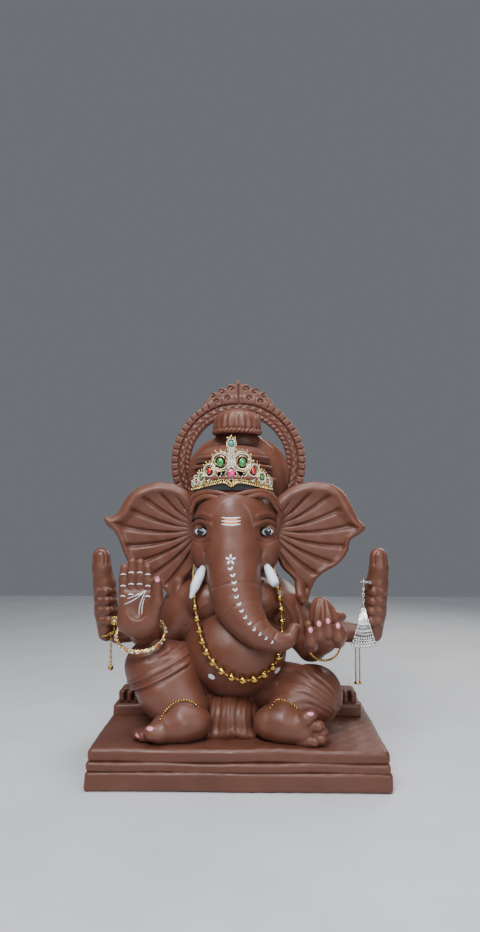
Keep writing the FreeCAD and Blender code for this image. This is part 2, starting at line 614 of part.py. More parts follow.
FRONT_RADII = ("shoulder_radius", "elbow_radius", "wrist_radius")
REAR_RADII = ("rear_shoulder_radius", "rear_elbow_radius", "rear_wrist_radius")
right_arm = arm("front_right", FRONT_RADII, right_ear, right_leg, trunk)
left_arm = arm("front_left", FRONT_RADII, left_ear, left_leg, trunk)
rear_right_arm = arm("rear_right", REAR_RADII, right_ear, right_arm, halo)
rear_left_arm = arm("rear_left", REAR_RADII, left_ear, left_arm, halo)


def open_hand():
    """The raised palm that blesses: wrist, palm, four upright fingers and the thumb beside them."""
    pieces = [bone("right_hand_heel", "front_right_wrist", "front_right_palm_heel",
                   "0.85 * wrist_radius", "0.85 * wrist_radius"),
              lump("right_palm_lump", "right_palm", "palm_half_width", "palm_half_depth",
                   "palm_half_height")]
    for number in range(len(OPEN_FINGERS)):
        pieces.append(bone(f"right_finger_{number}", f"right_finger_root_{number}",
                           f"right_finger_tip_{number}", "1.1 * finger_radius", "finger_radius"))
    pieces.append(bone("right_thumb", "right_thumb_root", "right_thumb_tip", "1.4 * finger_radius",
                       "finger_radius"))
    return less("open_hand_fitted", joined("open_hand_whole", pieces), right_arm, right_ear)


def cupped_hand():
    """The upturned palm that holds the sweet: palm, four curled fingers and the thumb."""
    pieces = [bone("left_hand_heel", "front_left_wrist", "cupped_palm", "0.97 * wrist_radius",
                   "0.6 * wrist_radius"),
              lump("cupped_palm_lump", "cupped_palm", "cupped_half_width", "cupped_half_depth",
                   "cupped_half_height")]
    for number in range(len(CURLED_FINGERS)):
        pieces.append(bone(f"left_finger_{number}", f"left_finger_root_{number}",
                           f"left_finger_tip_{number}", "1.1 * finger_radius", "finger_radius"))
    pieces.append(bone("left_thumb", "left_thumb_root", "left_thumb_tip", "1.3 * finger_radius",
                       "finger_radius"))
    return less("cupped_hand_fitted", joined("cupped_hand_whole", pieces), left_arm, left_leg)


def fist(side, own_arm):
    """The raised rear hand: fist, thumb laid up over it, and four fingers wrapped round its front."""
    name = f"rear_{side}"
    pieces = [bone(f"{name}_heel", f"{name}_wrist", f"{name}_fist_low", "0.97 * rear_wrist_radius",
                   "0.9 * fist_radius"),
              bone(f"{name}_column", f"{name}_fist_low", f"{name}_fist_high", "fist_radius",
                   "0.96 * fist_radius"),
              bone(f"{name}_thumb_up", f"{name}_fist_high", f"{name}_thumb", "0.92 * fist_radius",
                   "raised_thumb_radius")]
    for number in range(FIST_FINGERS):
        pieces.append(bone(f"{name}_finger_{number}", f"{name}_finger_in_{number}",
                           f"{name}_finger_out_{number}", "fist_finger_radius", "fist_finger_radius"))
    return less(f"{name}_fist_fitted", joined(f"{name}_fist_whole", pieces), own_arm)


right_hand = keep("front_right_hand", open_hand())
left_hand = keep("front_left_hand", cupped_hand())
rear_right_hand = keep("rear_right_hand", fist("right", rear_right_arm))
rear_left_hand = keep("rear_left_hand", fist("left", rear_left_arm))


def modak():
    """Pleated sweet dumpling: round foot drawn up to a point."""
    body = doc.addObject("PartDesign::Body", "modak_dumpling")
    sketch = sketch_in(body, "modak_profile", "XZ_Plane")
    outline(sketch, (("0", "0"), ("modak_radius * 0.8", "0"), ("modak_radius", "modak_height * 0.25"),
                     ("modak_radius * 0.62", "modak_height * 0.6"), ("1.5", "modak_height"),
                     ("0", "modak_height")))
    revolve(body, sketch, "modak_turned")
    bind_base(body, "modak_seat")
    return body


keep("modak", less("modak_fitted", modak(), left_hand))

# ---------------------------------------------------------------------------------------------------
# Armature hidden in the clay
# ---------------------------------------------------------------------------------------------------
keep("spine_dowel", bone("spine_rod", "spine_low", "spine_high", "dowel_radius", "dowel_radius"))
wires = []
for name in ("front_right", "front_left", "rear_right", "rear_left"):
    wires.append(joined(f"{name}_wire", (
        bone(f"{name}_wire_upper", f"{name}_shoulder", f"{name}_elbow", "wire_radius", "wire_radius"),
        bone(f"{name}_wire_fore", f"{name}_elbow", f"{name}_wrist", "1.1 * wire_radius", "wire_radius"))))
keep("arm_wires", group("arm_wire_set", wires))
pins = []
for side in (-1, 1):
    pin = doc.addObject("Part::Cylinder", f"halo_pin_{'right' if side < 0 else 'left'}")
    bind(pin, Radius="halo_pin_radius", Height="halo_pin_length")
    pin.Placement = FreeCAD.Placement(Vector(), FreeCAD.Rotation(Vector(1, 0, 0), 90))
    for axis, text in (("x", f"halo_x + {side} * ( halo_outer + halo_inner ) / 2 * 0.5"),
                       ("y", "halo_front + halo_thickness - 3"),
                       ("z", "halo_z - ( halo_outer + halo_inner ) / 2 * 0.866")):
        pin.setExpression(f".Placement.Base.{axis}", in_sheet(text))
    pins.append(pin)
keep("halo_pins", group("halo_pin_pair", pins))


# ---------------------------------------------------------------------------------------------------
# Tiara, which lifts off
# ---------------------------------------------------------------------------------------------------
def crown_tube(name, inner, thickness, z, height):
    """Thin ring about the crown's own axis."""
    outer = doc.addObject("Part::Cylinder", f"{name}_outer")
    bore = doc.addObject("Part::Cylinder", f"{name}_bore")
    bind(outer, Radius=f"{inner} + {thickness}", Height=height)
    bind(bore, Radius=inner, Height=height)
    for cylinder in (outer, bore):
        for axis, text in (("x", "crown_x"), ("y", "crown_y"), ("z", z)):
            cylinder.setExpression(f".Placement.Base.{axis}", in_sheet(text))
    return less(f"{name}_ring", outer, bore)


def front_stencil(name, corners):
    """Slab of a front outline, reaching from the crown's axis forward past the tiara."""
    body = doc.addObject("PartDesign::Body", f"{name}_stencil")
    sketch = sketch_in(body, f"{name}_outline", "XZ_Plane")
    outline(sketch, corners)
    pad = body.newObject("PartDesign::Pad", f"{name}_pad")
    pad.Profile = sketch
    pad.Midplane = True
    bind(pad, Length="1.4 * tiara_inner")
    body.setExpression(".Placement.Base.x", in_sheet("crown_x"))
    body.setExpression(".Placement.Base.y", in_sheet("crown_y - 0.72 * tiara_inner"))
    body.setExpression(".Placement.Base.z", in_sheet("tiara_low"))
    return body


def common(name, first, second):
    shared = doc.addObject("Part::Common", name)
    shared.Base = first
    shared.Tool = second
    return shared


HALF = (("tiara_half_width", "0"), ("tiara_half_width", "tiara_end_height"),
        ("tiara_half_width * 0.6", "tiara_shoulder_height"),
        ("tiara_half_width * 0.2", "tiara_shoulder_height * 1.25"))
tiara_corners = (*HALF, ("0", "tiara_peak_height"), *((f"-1 * {x}", z) for x, z in reversed(HALF)))
lining_corners = (("tiara_half_width", "0"), ("tiara_half_width", "lining_height * 0.6"),
                  ("0", "lining_height"), ("-1 * tiara_half_width", "lining_height * 0.6"),
                  ("-1 * tiara_half_width", "0"))
frame = keep("tiara_frame", common("tiara_shell", crown_tube("tiara", "tiara_inner", "tiara_plate",
                                                             "tiara_low - 1", "tiara_peak_height + 2"),
                                   front_stencil("tiara", tiara_corners)))
keep("tiara_felt_lining", common("lining_shell", crown_tube("lining", "lining_inner",
                                                            "tiara_inner - lining_inner", "tiara_low - 1",
                                                            "lining_height + 2"),
                                 front_stencil("lining", lining_corners)))


def stone(name, radius, bearing, height):
    """Flat-backed cut stone on the tiara's face, bearing degrees round from its middle."""
    gem = doc.addObject("Part::Cone", name)
    bind(gem, Radius1=radius, Radius2=f"0.55 * {radius}", Height="stone_depth")
    outward = Vector(math.sin(math.radians(bearing)), -math.cos(math.radians(bearing)), 0)
    gem.Placement = FreeCAD.Placement(Vector(), FreeCAD.Rotation(UP, outward))
    reach = "( tiara_inner + tiara_plate )"
    for axis, text in (("x", f"crown_x + {reach} * {outward.x:.5f}"),
                       ("y", f"crown_y + {reach} * {outward.y:.5f}"), ("z", f"tiara_low + {height}")):
        gem.setExpression(f".Placement.Base.{axis}", in_sheet(text))
    return gem


keep("tiara_centre_stone", stone("centre_gem", "centre_stone_radius", 0, "centre_stone_radius + 3"))
keep("tiara_peak_stone", stone("peak_gem", "peak_stone_radius", 0, "tiara_peak_height - 9"))
SMALL_STONES = ((12, 11), (12, 24), (24, 8), (24, 22), (36, 10), (46, 7), (0, 22), (0, 32))
small = []
for number, (bearing, height) in enumerate(SMALL_STONES):
    for side in ((-1, 1) if bearing else (1,)):
        small.append(stone(f"small_gem_{number}_{side + 1}", "small_stone_radius", side * bearing,
                           str(height)))
keep("tiara_small_stones", group("small_gem_set", small))

# ---------------------------------------------------------------------------------------------------
# Bangles, bracelet with its drop, pendant and anklets
# ---------------------------------------------------------------------------------------------------
def direction(start, end):
    return (place(end) - place(start)).normalize()


def part_way(start, end, share):
    return place(start) + (place(end) - place(start)) * share


RIGHT_BANGLE_AXIS = direction("front_right_wrist", "front_right_palm_heel")
keep("front_right_bangle", ring("right_bangle_ring", place("front_right_wrist"), RIGHT_BANGLE_AXIS,
                                "right_bangle_radius", "right_bangle_tube"))
keep("front_left_bangle", ring("left_bangle_ring", part_way("front_left_elbow", "front_left_wrist", 0.86),
                               direction("front_left_elbow", "front_left_wrist"),
                               "left_bangle_radius", "left_bangle_tube"))


def rod(name, start, end, radius):
    """Plain wire between two points."""
    wire = doc.addObject("Part::Cylinder", name)
    bind(wire, Radius=radius)
    wire.Height = (end - start).Length
    wire.Placement = FreeCAD.Placement(start, FreeCAD.Rotation(UP, end - start))
    return wire


def disc(name, centre, radius, thickness):
    """Flat round piece facing the viewer."""
    flat = doc.addObject("Part::Cylinder", name)
    bind(flat, Radius=radius, Height=thickness)
    flat.Placement = FreeCAD.Placement(centre + Vector(0, size(thickness) / 2, 0),
                                       FreeCAD.Rotation(Vector(1, 0, 0), 90))
    return flat


BRACELET_AXIS = direction("rear_right_wrist", "rear_right_fist_low")
bracelet_middle = part_way("rear_right_wrist", "rear_right_fist_low", 0.34)
eye = place("drop_eye")
lug_reach = Vector(3.5, 0, 0)
bracelet_front = Vector(eye.x, bracelet_middle.y - 0.965 * size("bracelet_radius"), eye.z)
rosette_middle = eye + Vector(3.5, 1.4, 15)
bracelet = [ring("bracelet_ring", bracelet_middle, BRACELET_AXIS, "bracelet_radius", "bracelet_tube"),
            rod("bracelet_pin", eye - lug_reach, eye + lug_reach, "drop_wire + 0.3"),
            rod("bracelet_lug_right", bracelet_front - lug_reach, eye - lug_reach, "drop_wire + 0.4"),
            rod("bracelet_lug_left", bracelet_front + lug_reach, eye + lug_reach, "drop_wire + 0.4"),
            rod("rosette_link", eye + lug_reach, rosette_middle, "drop_wire + 0.3"),
            disc("rosette", rosette_middle, "rosette_radius", "fan_thickness")]
keep("rear_right_bracelet", joined("bracelet_whole", bracelet))


def hanging_drop():
    """Wire eye, short chain and end ball of the bracelet's drop."""
    end = eye - Vector(0, 0, size("drop_length") - size("drop_ball"))
    pieces = [ring("drop_ring", eye, Vector(1, 0, 0), "drop_eye_radius", "drop_wire"),
              rod("drop_chain", eye - Vector(0, 0, size("drop_eye_radius")), end, "drop_wire + 0.2")]
    end_ball = doc.addObject("Part::Sphere", "drop_ball_end")
    bind(end_ball, Radius="drop_ball")
    end_ball.Placement.Base = end
    return joined("drop_whole", (*pieces, end_ball))


keep("right_wrist_drop", hanging_drop())

peg = place("pendant_peg")
peg_end = peg - Vector(size("peg_length"), 0, 0)
post_ends = (peg + Vector(0, 8, 0), peg - Vector(0, 1.5 * size("peg_radius"), 0))
hook = joined("pendant_hook_whole", (rod("hook_post", *post_ends, "1.3 * peg_radius"),
                                     rod("hook_peg", peg, peg_end, "peg_radius")))
keep("pendant_hook", less("pendant_hook_fitted", hook, rear_left_hand))
hang = peg - Vector(0.7 * size("peg_length"), 0, 0)


def fan_pendant():
    """Wire eye, link chain and open fan of the left wrist's pendant."""
    body = doc.addObject("PartDesign::Body", "fan_plate")
    sketch = sketch_in(body, "fan_outline", "XZ_Plane")
    outline(sketch, (("-0.2 * fan_half_width", "0"), ("0.2 * fan_half_width", "0"),
                     ("fan_half_width", "-1 * fan_height"), ("0", "-1.08 * fan_height"),
                     ("-1 * fan_half_width", "-1 * fan_height")))
    pad = body.newObject("PartDesign::Pad", "fan_pad")
    pad.Profile = sketch
    pad.Midplane = True
    bind(pad, Length="fan_thickness")
    body.Placement.Base = hang - Vector(0, 0, size("pendant_chain"))
    chain_top = hang - Vector(0, 0, size("pendant_eye_radius"))
    pieces = (ring("pendant_eye_ring", hang, Vector(1, 0, 0), "pendant_eye_radius", "strand_wire"),
              rod("pendant_link", chain_top, hang - Vector(0, 0, size("pendant_chain") + 1),
                  "strand_wire + 0.2"),
              body)
    return joined("fan_pendant_whole", pieces)


def pendant_strands():
    """Two fine strands below the fan, ending in a small bar."""
    drop = size("pendant_chain") + size("fan_height")
    middle = hang - Vector(0.5 * size("fan_half_width"), 0, drop + 1)
    bar = middle - Vector(0, 0, size("strand_length"))
    half = Vector(size("pendant_bar_half"), 0, 0)
    gap = Vector(size("strand_gap") / 2, 0, 0)
    pieces = [rod("pendant_bar", bar - half, bar + half, "pendant_bar_radius")]
    for number, shift in enumerate((gap * -1, gap)):
        pieces.append(rod(f"strand_{number}", middle + shift, bar + shift, "strand_wire"))
    return joined("strands_whole", pieces)


fan = keep("left_pendant_fan", fan_pendant())
keep("left_pendant_strands", less("strands_fitted", pendant_strands(), fan))


def anklet(side, axis):
    """Chain round the ankle, let into the clay where it passes behind."""
    chain = ring(f"{side}_anklet_ring", place(f"{side}_anklet"), axis, f"{side}_anklet_radius", "anklet_tube")
    return keep(f"{side}_anklet", less(f"{side}_anklet_fitted", chain, NODES[f"{side}_leg"],
                                       NODES[f"{side}_foot"], top, drape, belly))


anklet("right", Vector(-0.15, -0.8, 0.55))
anklet("left", Vector(0.1, -0.8, 0.55))


# ---------------------------------------------------------------------------------------------------
# Necklace: straight runs of cord joined by tangent arcs, and the beads threaded on it
# ---------------------------------------------------------------------------------------------------
ARC_SHARE = 0.45  # how much of the shorter run each arc may use


def rounded_route(points):
    """Wire of straight runs joined by arcs, and the arcs' radii."""
    edges, radii = [], []
    last = points[0]
    for before, corner, after in zip(points, points[1:], points[2:]):
        back = before - corner
        ahead = after - corner
        reach = ARC_SHARE * min(back.Length, ahead.Length)
        turn = math.pi - back.getAngle(ahead)
        radius = reach / math.tan(turn / 2)
        back.normalize()
        ahead.normalize()
        start = corner + back * reach
        end = corner + ahead * reach
        inward = (back + ahead).normalize()
        crown_of_arc = corner + inward * (radius / math.cos(turn / 2) - radius)
        edges.append(Part.LineSegment(last, start).toShape())
        edges.append(Part.Arc(start, crown_of_arc, end).toShape())
        radii.append(radius)
        last = end
    edges.append(Part.LineSegment(last, points[-1]).toShape())
    return Part.Wire(edges), radii


def necklace():
    """Cord tube and the beads along its lower stretch."""
    route, radii = rounded_route([Vector(*point) for point in NECKLACE])
    thickness = size("cord_diameter")
    start = Vector(*NECKLACE[0])
    along = Vector(*NECKLACE[1]) - start
    profile = Part.Wire(Part.makeCircle(thickness / 2, start, along))
    tube = route.makePipeShell([profile], True, False)
    ideal = math.pi * (thickness / 2) ** 2 * route.Length
    print(f"necklace cord {route.Length:.1f} mm, radii {[round(radius, 1) for radius in radii]}, "
          f"volume {tube.Volume:.1f} of {ideal:.1f}")
    cord = doc.addObject("Part::Feature", "necklace_tube")
    cord.Shape = tube
    keep("necklace_cord", cord)
    marks = route.discretize(Number=int(route.Length * 4))
    step = route.Length / (len(marks) - 1)
    beads = []
    for number in range(BEADS):
        bead = doc.addObject("Part::Sphere", f"bead_{number}")
        bind(bead, Radius="bead_diameter / 2")
        bead.Placement.Base = marks[round((FIRST_BEAD + number * size("bead_pitch")) / step)]
        beads.append(bead)
    keep("necklace_beads", group("bead_string", beads))


necklace()


def write_parts():
    """Check every object and sub-part, then write one file per sub-part."""
    doc.recompute()
    for thing in doc.Objects:
        if {"Invalid", "Error"} & set(thing.State):
            raise SystemExit(f"{thing.Name} failed: {thing.getStatusString()}")
    os.makedirs("parts", exist_ok=True)
    for label, thing in NODES.items():
        shape = thing.Shape
        if shape.isNull() or not shape.isValid() or not shape.Solids:
            raise SystemExit(f"{label} has no valid solid")
        shape.exportStep(f"parts/{label}.step")
        box = shape.BoundBox
        print(f"{label:24s} {len(shape.Solids)} solids {shape.Volume / 1000:8.2f} cm3 "
              f"x {box.XMin:.1f}..{box.XMax:.1f} y {box.YMin:.1f}..{box.YMax:.1f} "
              f"z {box.ZMin:.1f}..{box.ZMax:.1f}")


write_parts()
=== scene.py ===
"""Looks of the seated ganesha idol: clay sculpted as distance fields, painted marks and ornaments.

The clay lumps are sculpted in millimetres on regular grids, as signed distances that are blended,
cut and engraved, and then meshed.  Everything else is curves and mesh code in metres.
"""
import bpy
import json
import math
import numpy as np
import openvdb
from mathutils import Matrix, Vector
from mathutils.bvhtree import BVHTree

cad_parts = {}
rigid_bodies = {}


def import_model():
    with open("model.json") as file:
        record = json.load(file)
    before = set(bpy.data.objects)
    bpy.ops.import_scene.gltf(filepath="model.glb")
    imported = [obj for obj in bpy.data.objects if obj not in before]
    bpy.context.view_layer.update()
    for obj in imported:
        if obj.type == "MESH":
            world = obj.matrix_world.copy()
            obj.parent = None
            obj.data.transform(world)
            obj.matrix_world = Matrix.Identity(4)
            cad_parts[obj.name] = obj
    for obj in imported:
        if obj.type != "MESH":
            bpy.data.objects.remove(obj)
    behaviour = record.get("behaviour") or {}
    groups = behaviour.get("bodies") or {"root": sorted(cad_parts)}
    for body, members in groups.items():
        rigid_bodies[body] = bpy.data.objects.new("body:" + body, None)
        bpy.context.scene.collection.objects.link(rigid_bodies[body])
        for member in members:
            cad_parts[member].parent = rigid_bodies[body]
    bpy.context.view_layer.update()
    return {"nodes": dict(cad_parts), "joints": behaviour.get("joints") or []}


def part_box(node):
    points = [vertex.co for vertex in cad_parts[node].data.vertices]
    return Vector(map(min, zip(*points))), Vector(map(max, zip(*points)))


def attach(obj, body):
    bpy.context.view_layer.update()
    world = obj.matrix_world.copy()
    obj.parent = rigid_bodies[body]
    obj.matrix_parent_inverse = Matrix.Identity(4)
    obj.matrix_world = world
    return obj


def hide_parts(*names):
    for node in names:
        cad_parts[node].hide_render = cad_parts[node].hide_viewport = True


for leftover in list(bpy.data.objects):
    bpy.data.objects.remove(leftover)
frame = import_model()

MM = 0.001
FAR = 50.0
COARSE = 1.0


# ----------------------------------------------------------------------------------------------
# Frame sizes, in millimetres
# ----------------------------------------------------------------------------------------------
def box_mm(node):
    low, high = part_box(node)
    return np.array(low) / MM, np.array(high) / MM


FLOOR = box_mm("base_top_layer")[1][2]
HALO_LOW, HALO_HIGH = box_mm("halo_ring")
HALO_X = (HALO_LOW[0] + HALO_HIGH[0]) / 2
HALO_Y = (HALO_LOW[1] + HALO_HIGH[1]) / 2
HALO_R = (HALO_HIGH[0] - HALO_LOW[0]) / 2
HALO_Z = HALO_HIGH[2] - HALO_R
HALO_HOLE = HALO_R - 21
TIER_LOW, TIER_HIGH = box_mm("crown_middle_tier")
CROWN_X = (TIER_LOW[0] + TIER_HIGH[0]) / 2
TIARA_LOW, TIARA_HIGH = box_mm("tiara_frame")
TIARA_Z = TIARA_LOW[2]
TIARA_R = 53.9  # middle of the tiara's thin shell, about the crown's axis
CROWN_Y = TIARA_LOW[1] + TIARA_R + 0.7

# The figure's skeleton, as in the CAD frame.
PLACES = {
    "right_shoulder": (-60, 0, 180), "right_elbow": (-94, -8, 137), "right_wrist": (-110, -50, 152),
    "left_shoulder": (48, 0, 174), "left_elbow": (84, -6, 131), "left_wrist": (96, -52, 145),
    "rear_right_shoulder": (-56, 16, 194), "rear_right_elbow": (-108, 21, 147),
    "rear_right_wrist": (-148, 11, 141), "rear_left_shoulder": (44, 16, 188),
    "rear_left_elbow": (104, 21, 147), "rear_left_wrist": (146, 12, 142),
    "right_hip": (-46, -6, 100), "right_knee": (-97, -37, 113), "right_ankle": (-70, -57, 67),
    "left_hip": (26, -4, 82), "left_knee": (83, -37, 83), "left_ankle": (51, -58, 67),
    "right_fist": (-160, 4, 168), "right_fist_top": (-163, 3, 202), "right_fist_thumb": (-166.5, 2, 236),
    "left_fist": (159, 5, 168), "left_fist_top": (163, 4, 202), "left_fist_thumb": (165, 3, 236),
    "right_palm": (-110, -66, 182),
}
P = {name: np.array(point, float) for name, point in PLACES.items()}


# ----------------------------------------------------------------------------------------------
# Sculpting on a grid
# ----------------------------------------------------------------------------------------------
def smooth_low(a, b, soft):
    """Lower of two distances, rounded where they meet."""
    if soft <= 0:
        return np.minimum(a, b)
    share = np.clip(0.5 + 0.5 * (b - a) / soft, 0, 1)
    return b + (a - b) * share - soft * share * (1 - share)


def smooth_high(a, b, soft):
    return -smooth_low(-a, -b, soft)


def swell(distance, width):
    """Bell curve, 1 at zero distance."""
    return np.exp(-(distance / width) ** 2)


class Clay:
    """One lump of clay: signed distances in millimetres on a regular grid."""

    def __init__(self, low, high, step):
        self.step = step * COARSE
        self.low = np.array(low, float) - 3 * self.step
        counts = np.ceil((np.array(high, float) + 3 * self.step - self.low) / self.step).astype(int) + 1
        self.field = np.full(counts, FAR, np.float32)
        self.axes = [self.low[i] + self.step * np.arange(counts[i]) for i in range(3)]

    def window(self, low, high):
        slices, lines = [], []
        for i in range(3):
            first = int(np.clip((low[i] - self.low[i]) // self.step, 0, self.field.shape[i] - 1))
            last = int(np.clip((high[i] - self.low[i]) // self.step + 2, first + 1, self.field.shape[i]))
            slices.append(slice(first, last))
            lines.append(self.axes[i][first:last].astype(np.float32))
        return tuple(slices), (lines[0][:, None, None], lines[1][None, :, None], lines[2][None, None, :])

    def put(self, shape, low, high, soft=0.0, take=False):
        """Blend a shape in, or cut it away, inside its own box."""
        margin = soft + 2.5 * self.step
        where, grid = self.window(np.array(low) - margin, np.array(high) + margin)
        distance = shape(*grid).astype(np.float32)
        if take:
            self.field[where] = smooth_high(self.field[where], -distance, soft)
        else:
            self.field[where] = smooth_low(self.field[where], distance, soft)

    def ball(self, centre, radii, soft=0.0, take=False, lean=0.0):
        """Ellipsoid; lean turns it about Y, in degrees."""
        centre = np.array(centre, float)
        radii = np.array([radii] * 3 if np.isscalar(radii) else radii, float)
        cos, sin = math.cos(math.radians(lean)), math.sin(math.radians(lean))

        def shape(x, y, z):
            dx, dy, dz = x - centre[0], y - centre[1], z - centre[2]
            u, w = cos * dx - sin * dz, sin * dx + cos * dz
            k = np.sqrt((u / radii[0]) ** 2 + (dy / radii[1]) ** 2 + (w / radii[2]) ** 2)
            slope = np.sqrt((u / radii[0] ** 2) ** 2 + (dy / radii[1] ** 2) ** 2 + (w / radii[2] ** 2) ** 2)
            return k * (k - 1) / np.maximum(slope, 1e-6)
        reach = np.array([max(radii[0], radii[2]) if lean else radii[0], radii[1],
                          max(radii[0], radii[2]) if lean else radii[2]])
        self.put(shape, centre - reach, centre + reach, soft, take)

    def limb(self, points, radii, soft=0.0, take=False, within=2.0, ridges=()):
        """Round limb along points.  ridges are (distance along, height, width), negative for a groove."""
        points = [np.array(point, float) for point in points]
        lengths = np.cumsum([0] + [np.linalg.norm(b - a) for a, b in zip(points, points[1:])])

        def shape(x, y, z):
            whole = None
            for i, (a, b) in enumerate(zip(points, points[1:])):
                line = b - a
                share = ((x - a[0]) * line[0] + (y - a[1]) * line[1] + (z - a[2]) * line[2]) / (line @ line)
                t = np.clip(share, 0, 1)
                d = np.sqrt((x - a[0] - t * line[0]) ** 2 + (y - a[1] - t * line[1]) ** 2
                            + (z - a[2] - t * line[2]) ** 2) - (radii[i] + (radii[i + 1] - radii[i]) * t)
                for along, height, width in ridges:
                    if lengths[i] - 4 <= along <= lengths[i + 1] + 4:
                        here = share * (lengths[i + 1] - lengths[i]) + lengths[i]
                        d = d - height * swell(here - along, width)
                whole = d if whole is None else smooth_low(whole, d, within)
            return whole
        reach = max(radii) + 2
        self.put(shape, np.min(points, axis=0) - reach, np.max(points, axis=0) + reach, soft, take)

    def slab(self, low, high, edge, soft=0.0, take=False, wave=None):
        """Box with rounded edges; wave adds hand-made unevenness."""
        low, high = np.array(low, float), np.array(high, float)
        middle, half = (low + high) / 2, (high - low) / 2 - edge

        def shape(x, y, z):
            if wave:
                x, y, z = wave(x, y, z)
            qx = abs(x - middle[0]) - half[0]
            qy = abs(y - middle[1]) - half[1]
            qz = abs(z - middle[2]) - half[2]
            outside = np.sqrt(np.maximum(qx, 0) ** 2 + np.maximum(qy, 0) ** 2 + np.maximum(qz, 0) ** 2)
            return outside + np.minimum(np.maximum(np.maximum(qx, qy), qz), 0) - edge
        self.put(shape, low - 1, high + 1, soft, take)

    def hoop(self, centre, radius, tube, soft=0.0, facing=1, squash=1.0, take=False):
        """Ring; facing is the axis it is round: 1 faces the viewer, 2 lies flat."""
        centre = np.array(centre, float)

        def shape(x, y, z):
            parts = [x - centre[0], y - centre[1], z - centre[2]]
            along = parts.pop(facing)
            out = np.sqrt(parts[0] ** 2 + parts[1] ** 2) - radius
            return np.sqrt(out ** 2 + (along / squash) ** 2) - tube
        reach = np.full(3, radius + tube)
        reach[facing] = tube * max(squash, 1)
        self.put(shape, centre - reach, centre + reach, soft, take)

    def engrave(self, line, depth, width, low_y=-200, high_y=200):
        """Press a front-view line (x, z) into the clay; a negative depth raises it."""
        line = smooth_line(line)
        pad = 3 * width
        low = (line[:, 0].min() - pad, low_y, line[:, 1].min() - pad)
        high = (line[:, 0].max() + pad, high_y, line[:, 1].max() + pad)
        where, (x, _, z) = self.window(low, high)
        away = distance_to_line(x, z, line)
        self.field[where] += depth * swell(away, width)

    def unevenness(self, amount, spread):
        """Slow waves that keep the surface from looking machined."""
        x, y, z = (line.astype(np.float32) for line in self.axes)
        k = 2 * math.pi / spread
        wave = (np.sin(k * x + 1.3)[:, None, None] * np.sin(k * 0.8 * z + 0.4)[None, None, :]
                + np.sin(k * 0.7 * y + 2.1)[None, :, None] * np.sin(k * 1.2 * z)[None, None, :]
                + np.sin(k * 1.1 * x)[:, None, None] * np.sin(k * y + 0.7)[None, :, None])
        self.field += amount * wave / 1.8

    def mesh(self, name):
        """Mesh the zero surface, in metres."""
        grid = openvdb.FloatGrid(FAR)
        grid.copyFromArray(np.ascontiguousarray(np.clip(self.field, -FAR, FAR)))
        points, quads = grid.convertToQuads(0.0)
        points = (points * self.step + self.low) * MM
        corners = points[quads]
        normal = np.cross(corners[:, 2] - corners[:, 0], corners[:, 3] - corners[:, 1])
        if np.einsum("ij,ij->", corners.mean(axis=1), normal) < 0:
            quads = quads[:, ::-1]
        return mesh_object(name, points, quads)


def smooth_line(points, steps=6):
    """Catmull-Rom curve through points of any dimension."""
    points = np.array(points, float)
    if len(points) < 3:
        return points
    padded = np.vstack([2 * points[0] - points[1], points, 2 * points[-1] - points[-2]])
    out = []
    for i in range(1, len(padded) - 2):
        a, b, c, d = padded[i - 1:i + 3]
        for t in np.arange(steps) / steps:
            out.append(0.5 * (2 * b + (c - a) * t + (2 * a - 5 * b + 4 * c - d) * t ** 2
                              + (3 * b - a - 3 * c + d) * t ** 3))
    out.append(points[-1])
    return np.array(out)


def distance_to_line(x, z, line):
    best = None
    for a, b in zip(line, line[1:]):
        step = b - a
        t = np.clip(((x - a[0]) * step[0] + (z - a[1]) * step[1]) / max(step @ step, 1e-9), 0, 1)
        away = (x - a[0] - t * step[0]) ** 2 + (z - a[1] - t * step[1]) ** 2
        best = away if best is None else np.minimum(best, away)
    return np.sqrt(best)


def inside_outline(x, z, outline):
    """Signed distance to a closed front-view outline, negative inside."""
    away = distance_to_line(x, z, np.vstack([outline, outline[:1]]))
    inside = np.zeros(away.shape, bool)
    for a, b in zip(outline, np.roll(outline, -1, axis=0)):
        if a[1] == b[1]:
            continue
        crosses = (a[1] > z) != (b[1] > z)
        inside ^= crosses & (x < (b[0] - a[0]) * (z - a[1]) / (b[1] - a[1]) + a[0])
    return np.where(inside, -away, away)


def mesh_object(name, points, faces, smooth=True):
    mesh = bpy.data.meshes.new(name)
    faces = np.asarray(faces)
    mesh.vertices.add(len(points))
    mesh.vertices.foreach_set("co", np.asarray(points, np.float32).ravel())
    mesh.loops.add(faces.size)
    mesh.loops.foreach_set("vertex_index", faces.astype(np.int32).ravel())
    mesh.polygons.add(len(faces))
    sides = faces.shape[1]
    mesh.polygons.foreach_set("loop_start", np.arange(0, faces.size, sides, dtype=np.int32))
    mesh.polygons.foreach_set("loop_total", np.full(len(faces), sides, np.int32))
    mesh.polygons.foreach_set("use_smooth", np.full(len(faces), smooth))
    mesh.update(calc_edges=True)
    mesh.validate()
    piece = bpy.data.objects.new(name, mesh)
    bpy.context.scene.collection.objects.link(piece)
    return piece


def finish_piece(piece, material, body="idol", replaces=()):
    piece.data.materials.clear()
    piece.data.materials.append(material)
    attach(piece, body)
    if replaces:
        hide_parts(*replaces)
    return piece


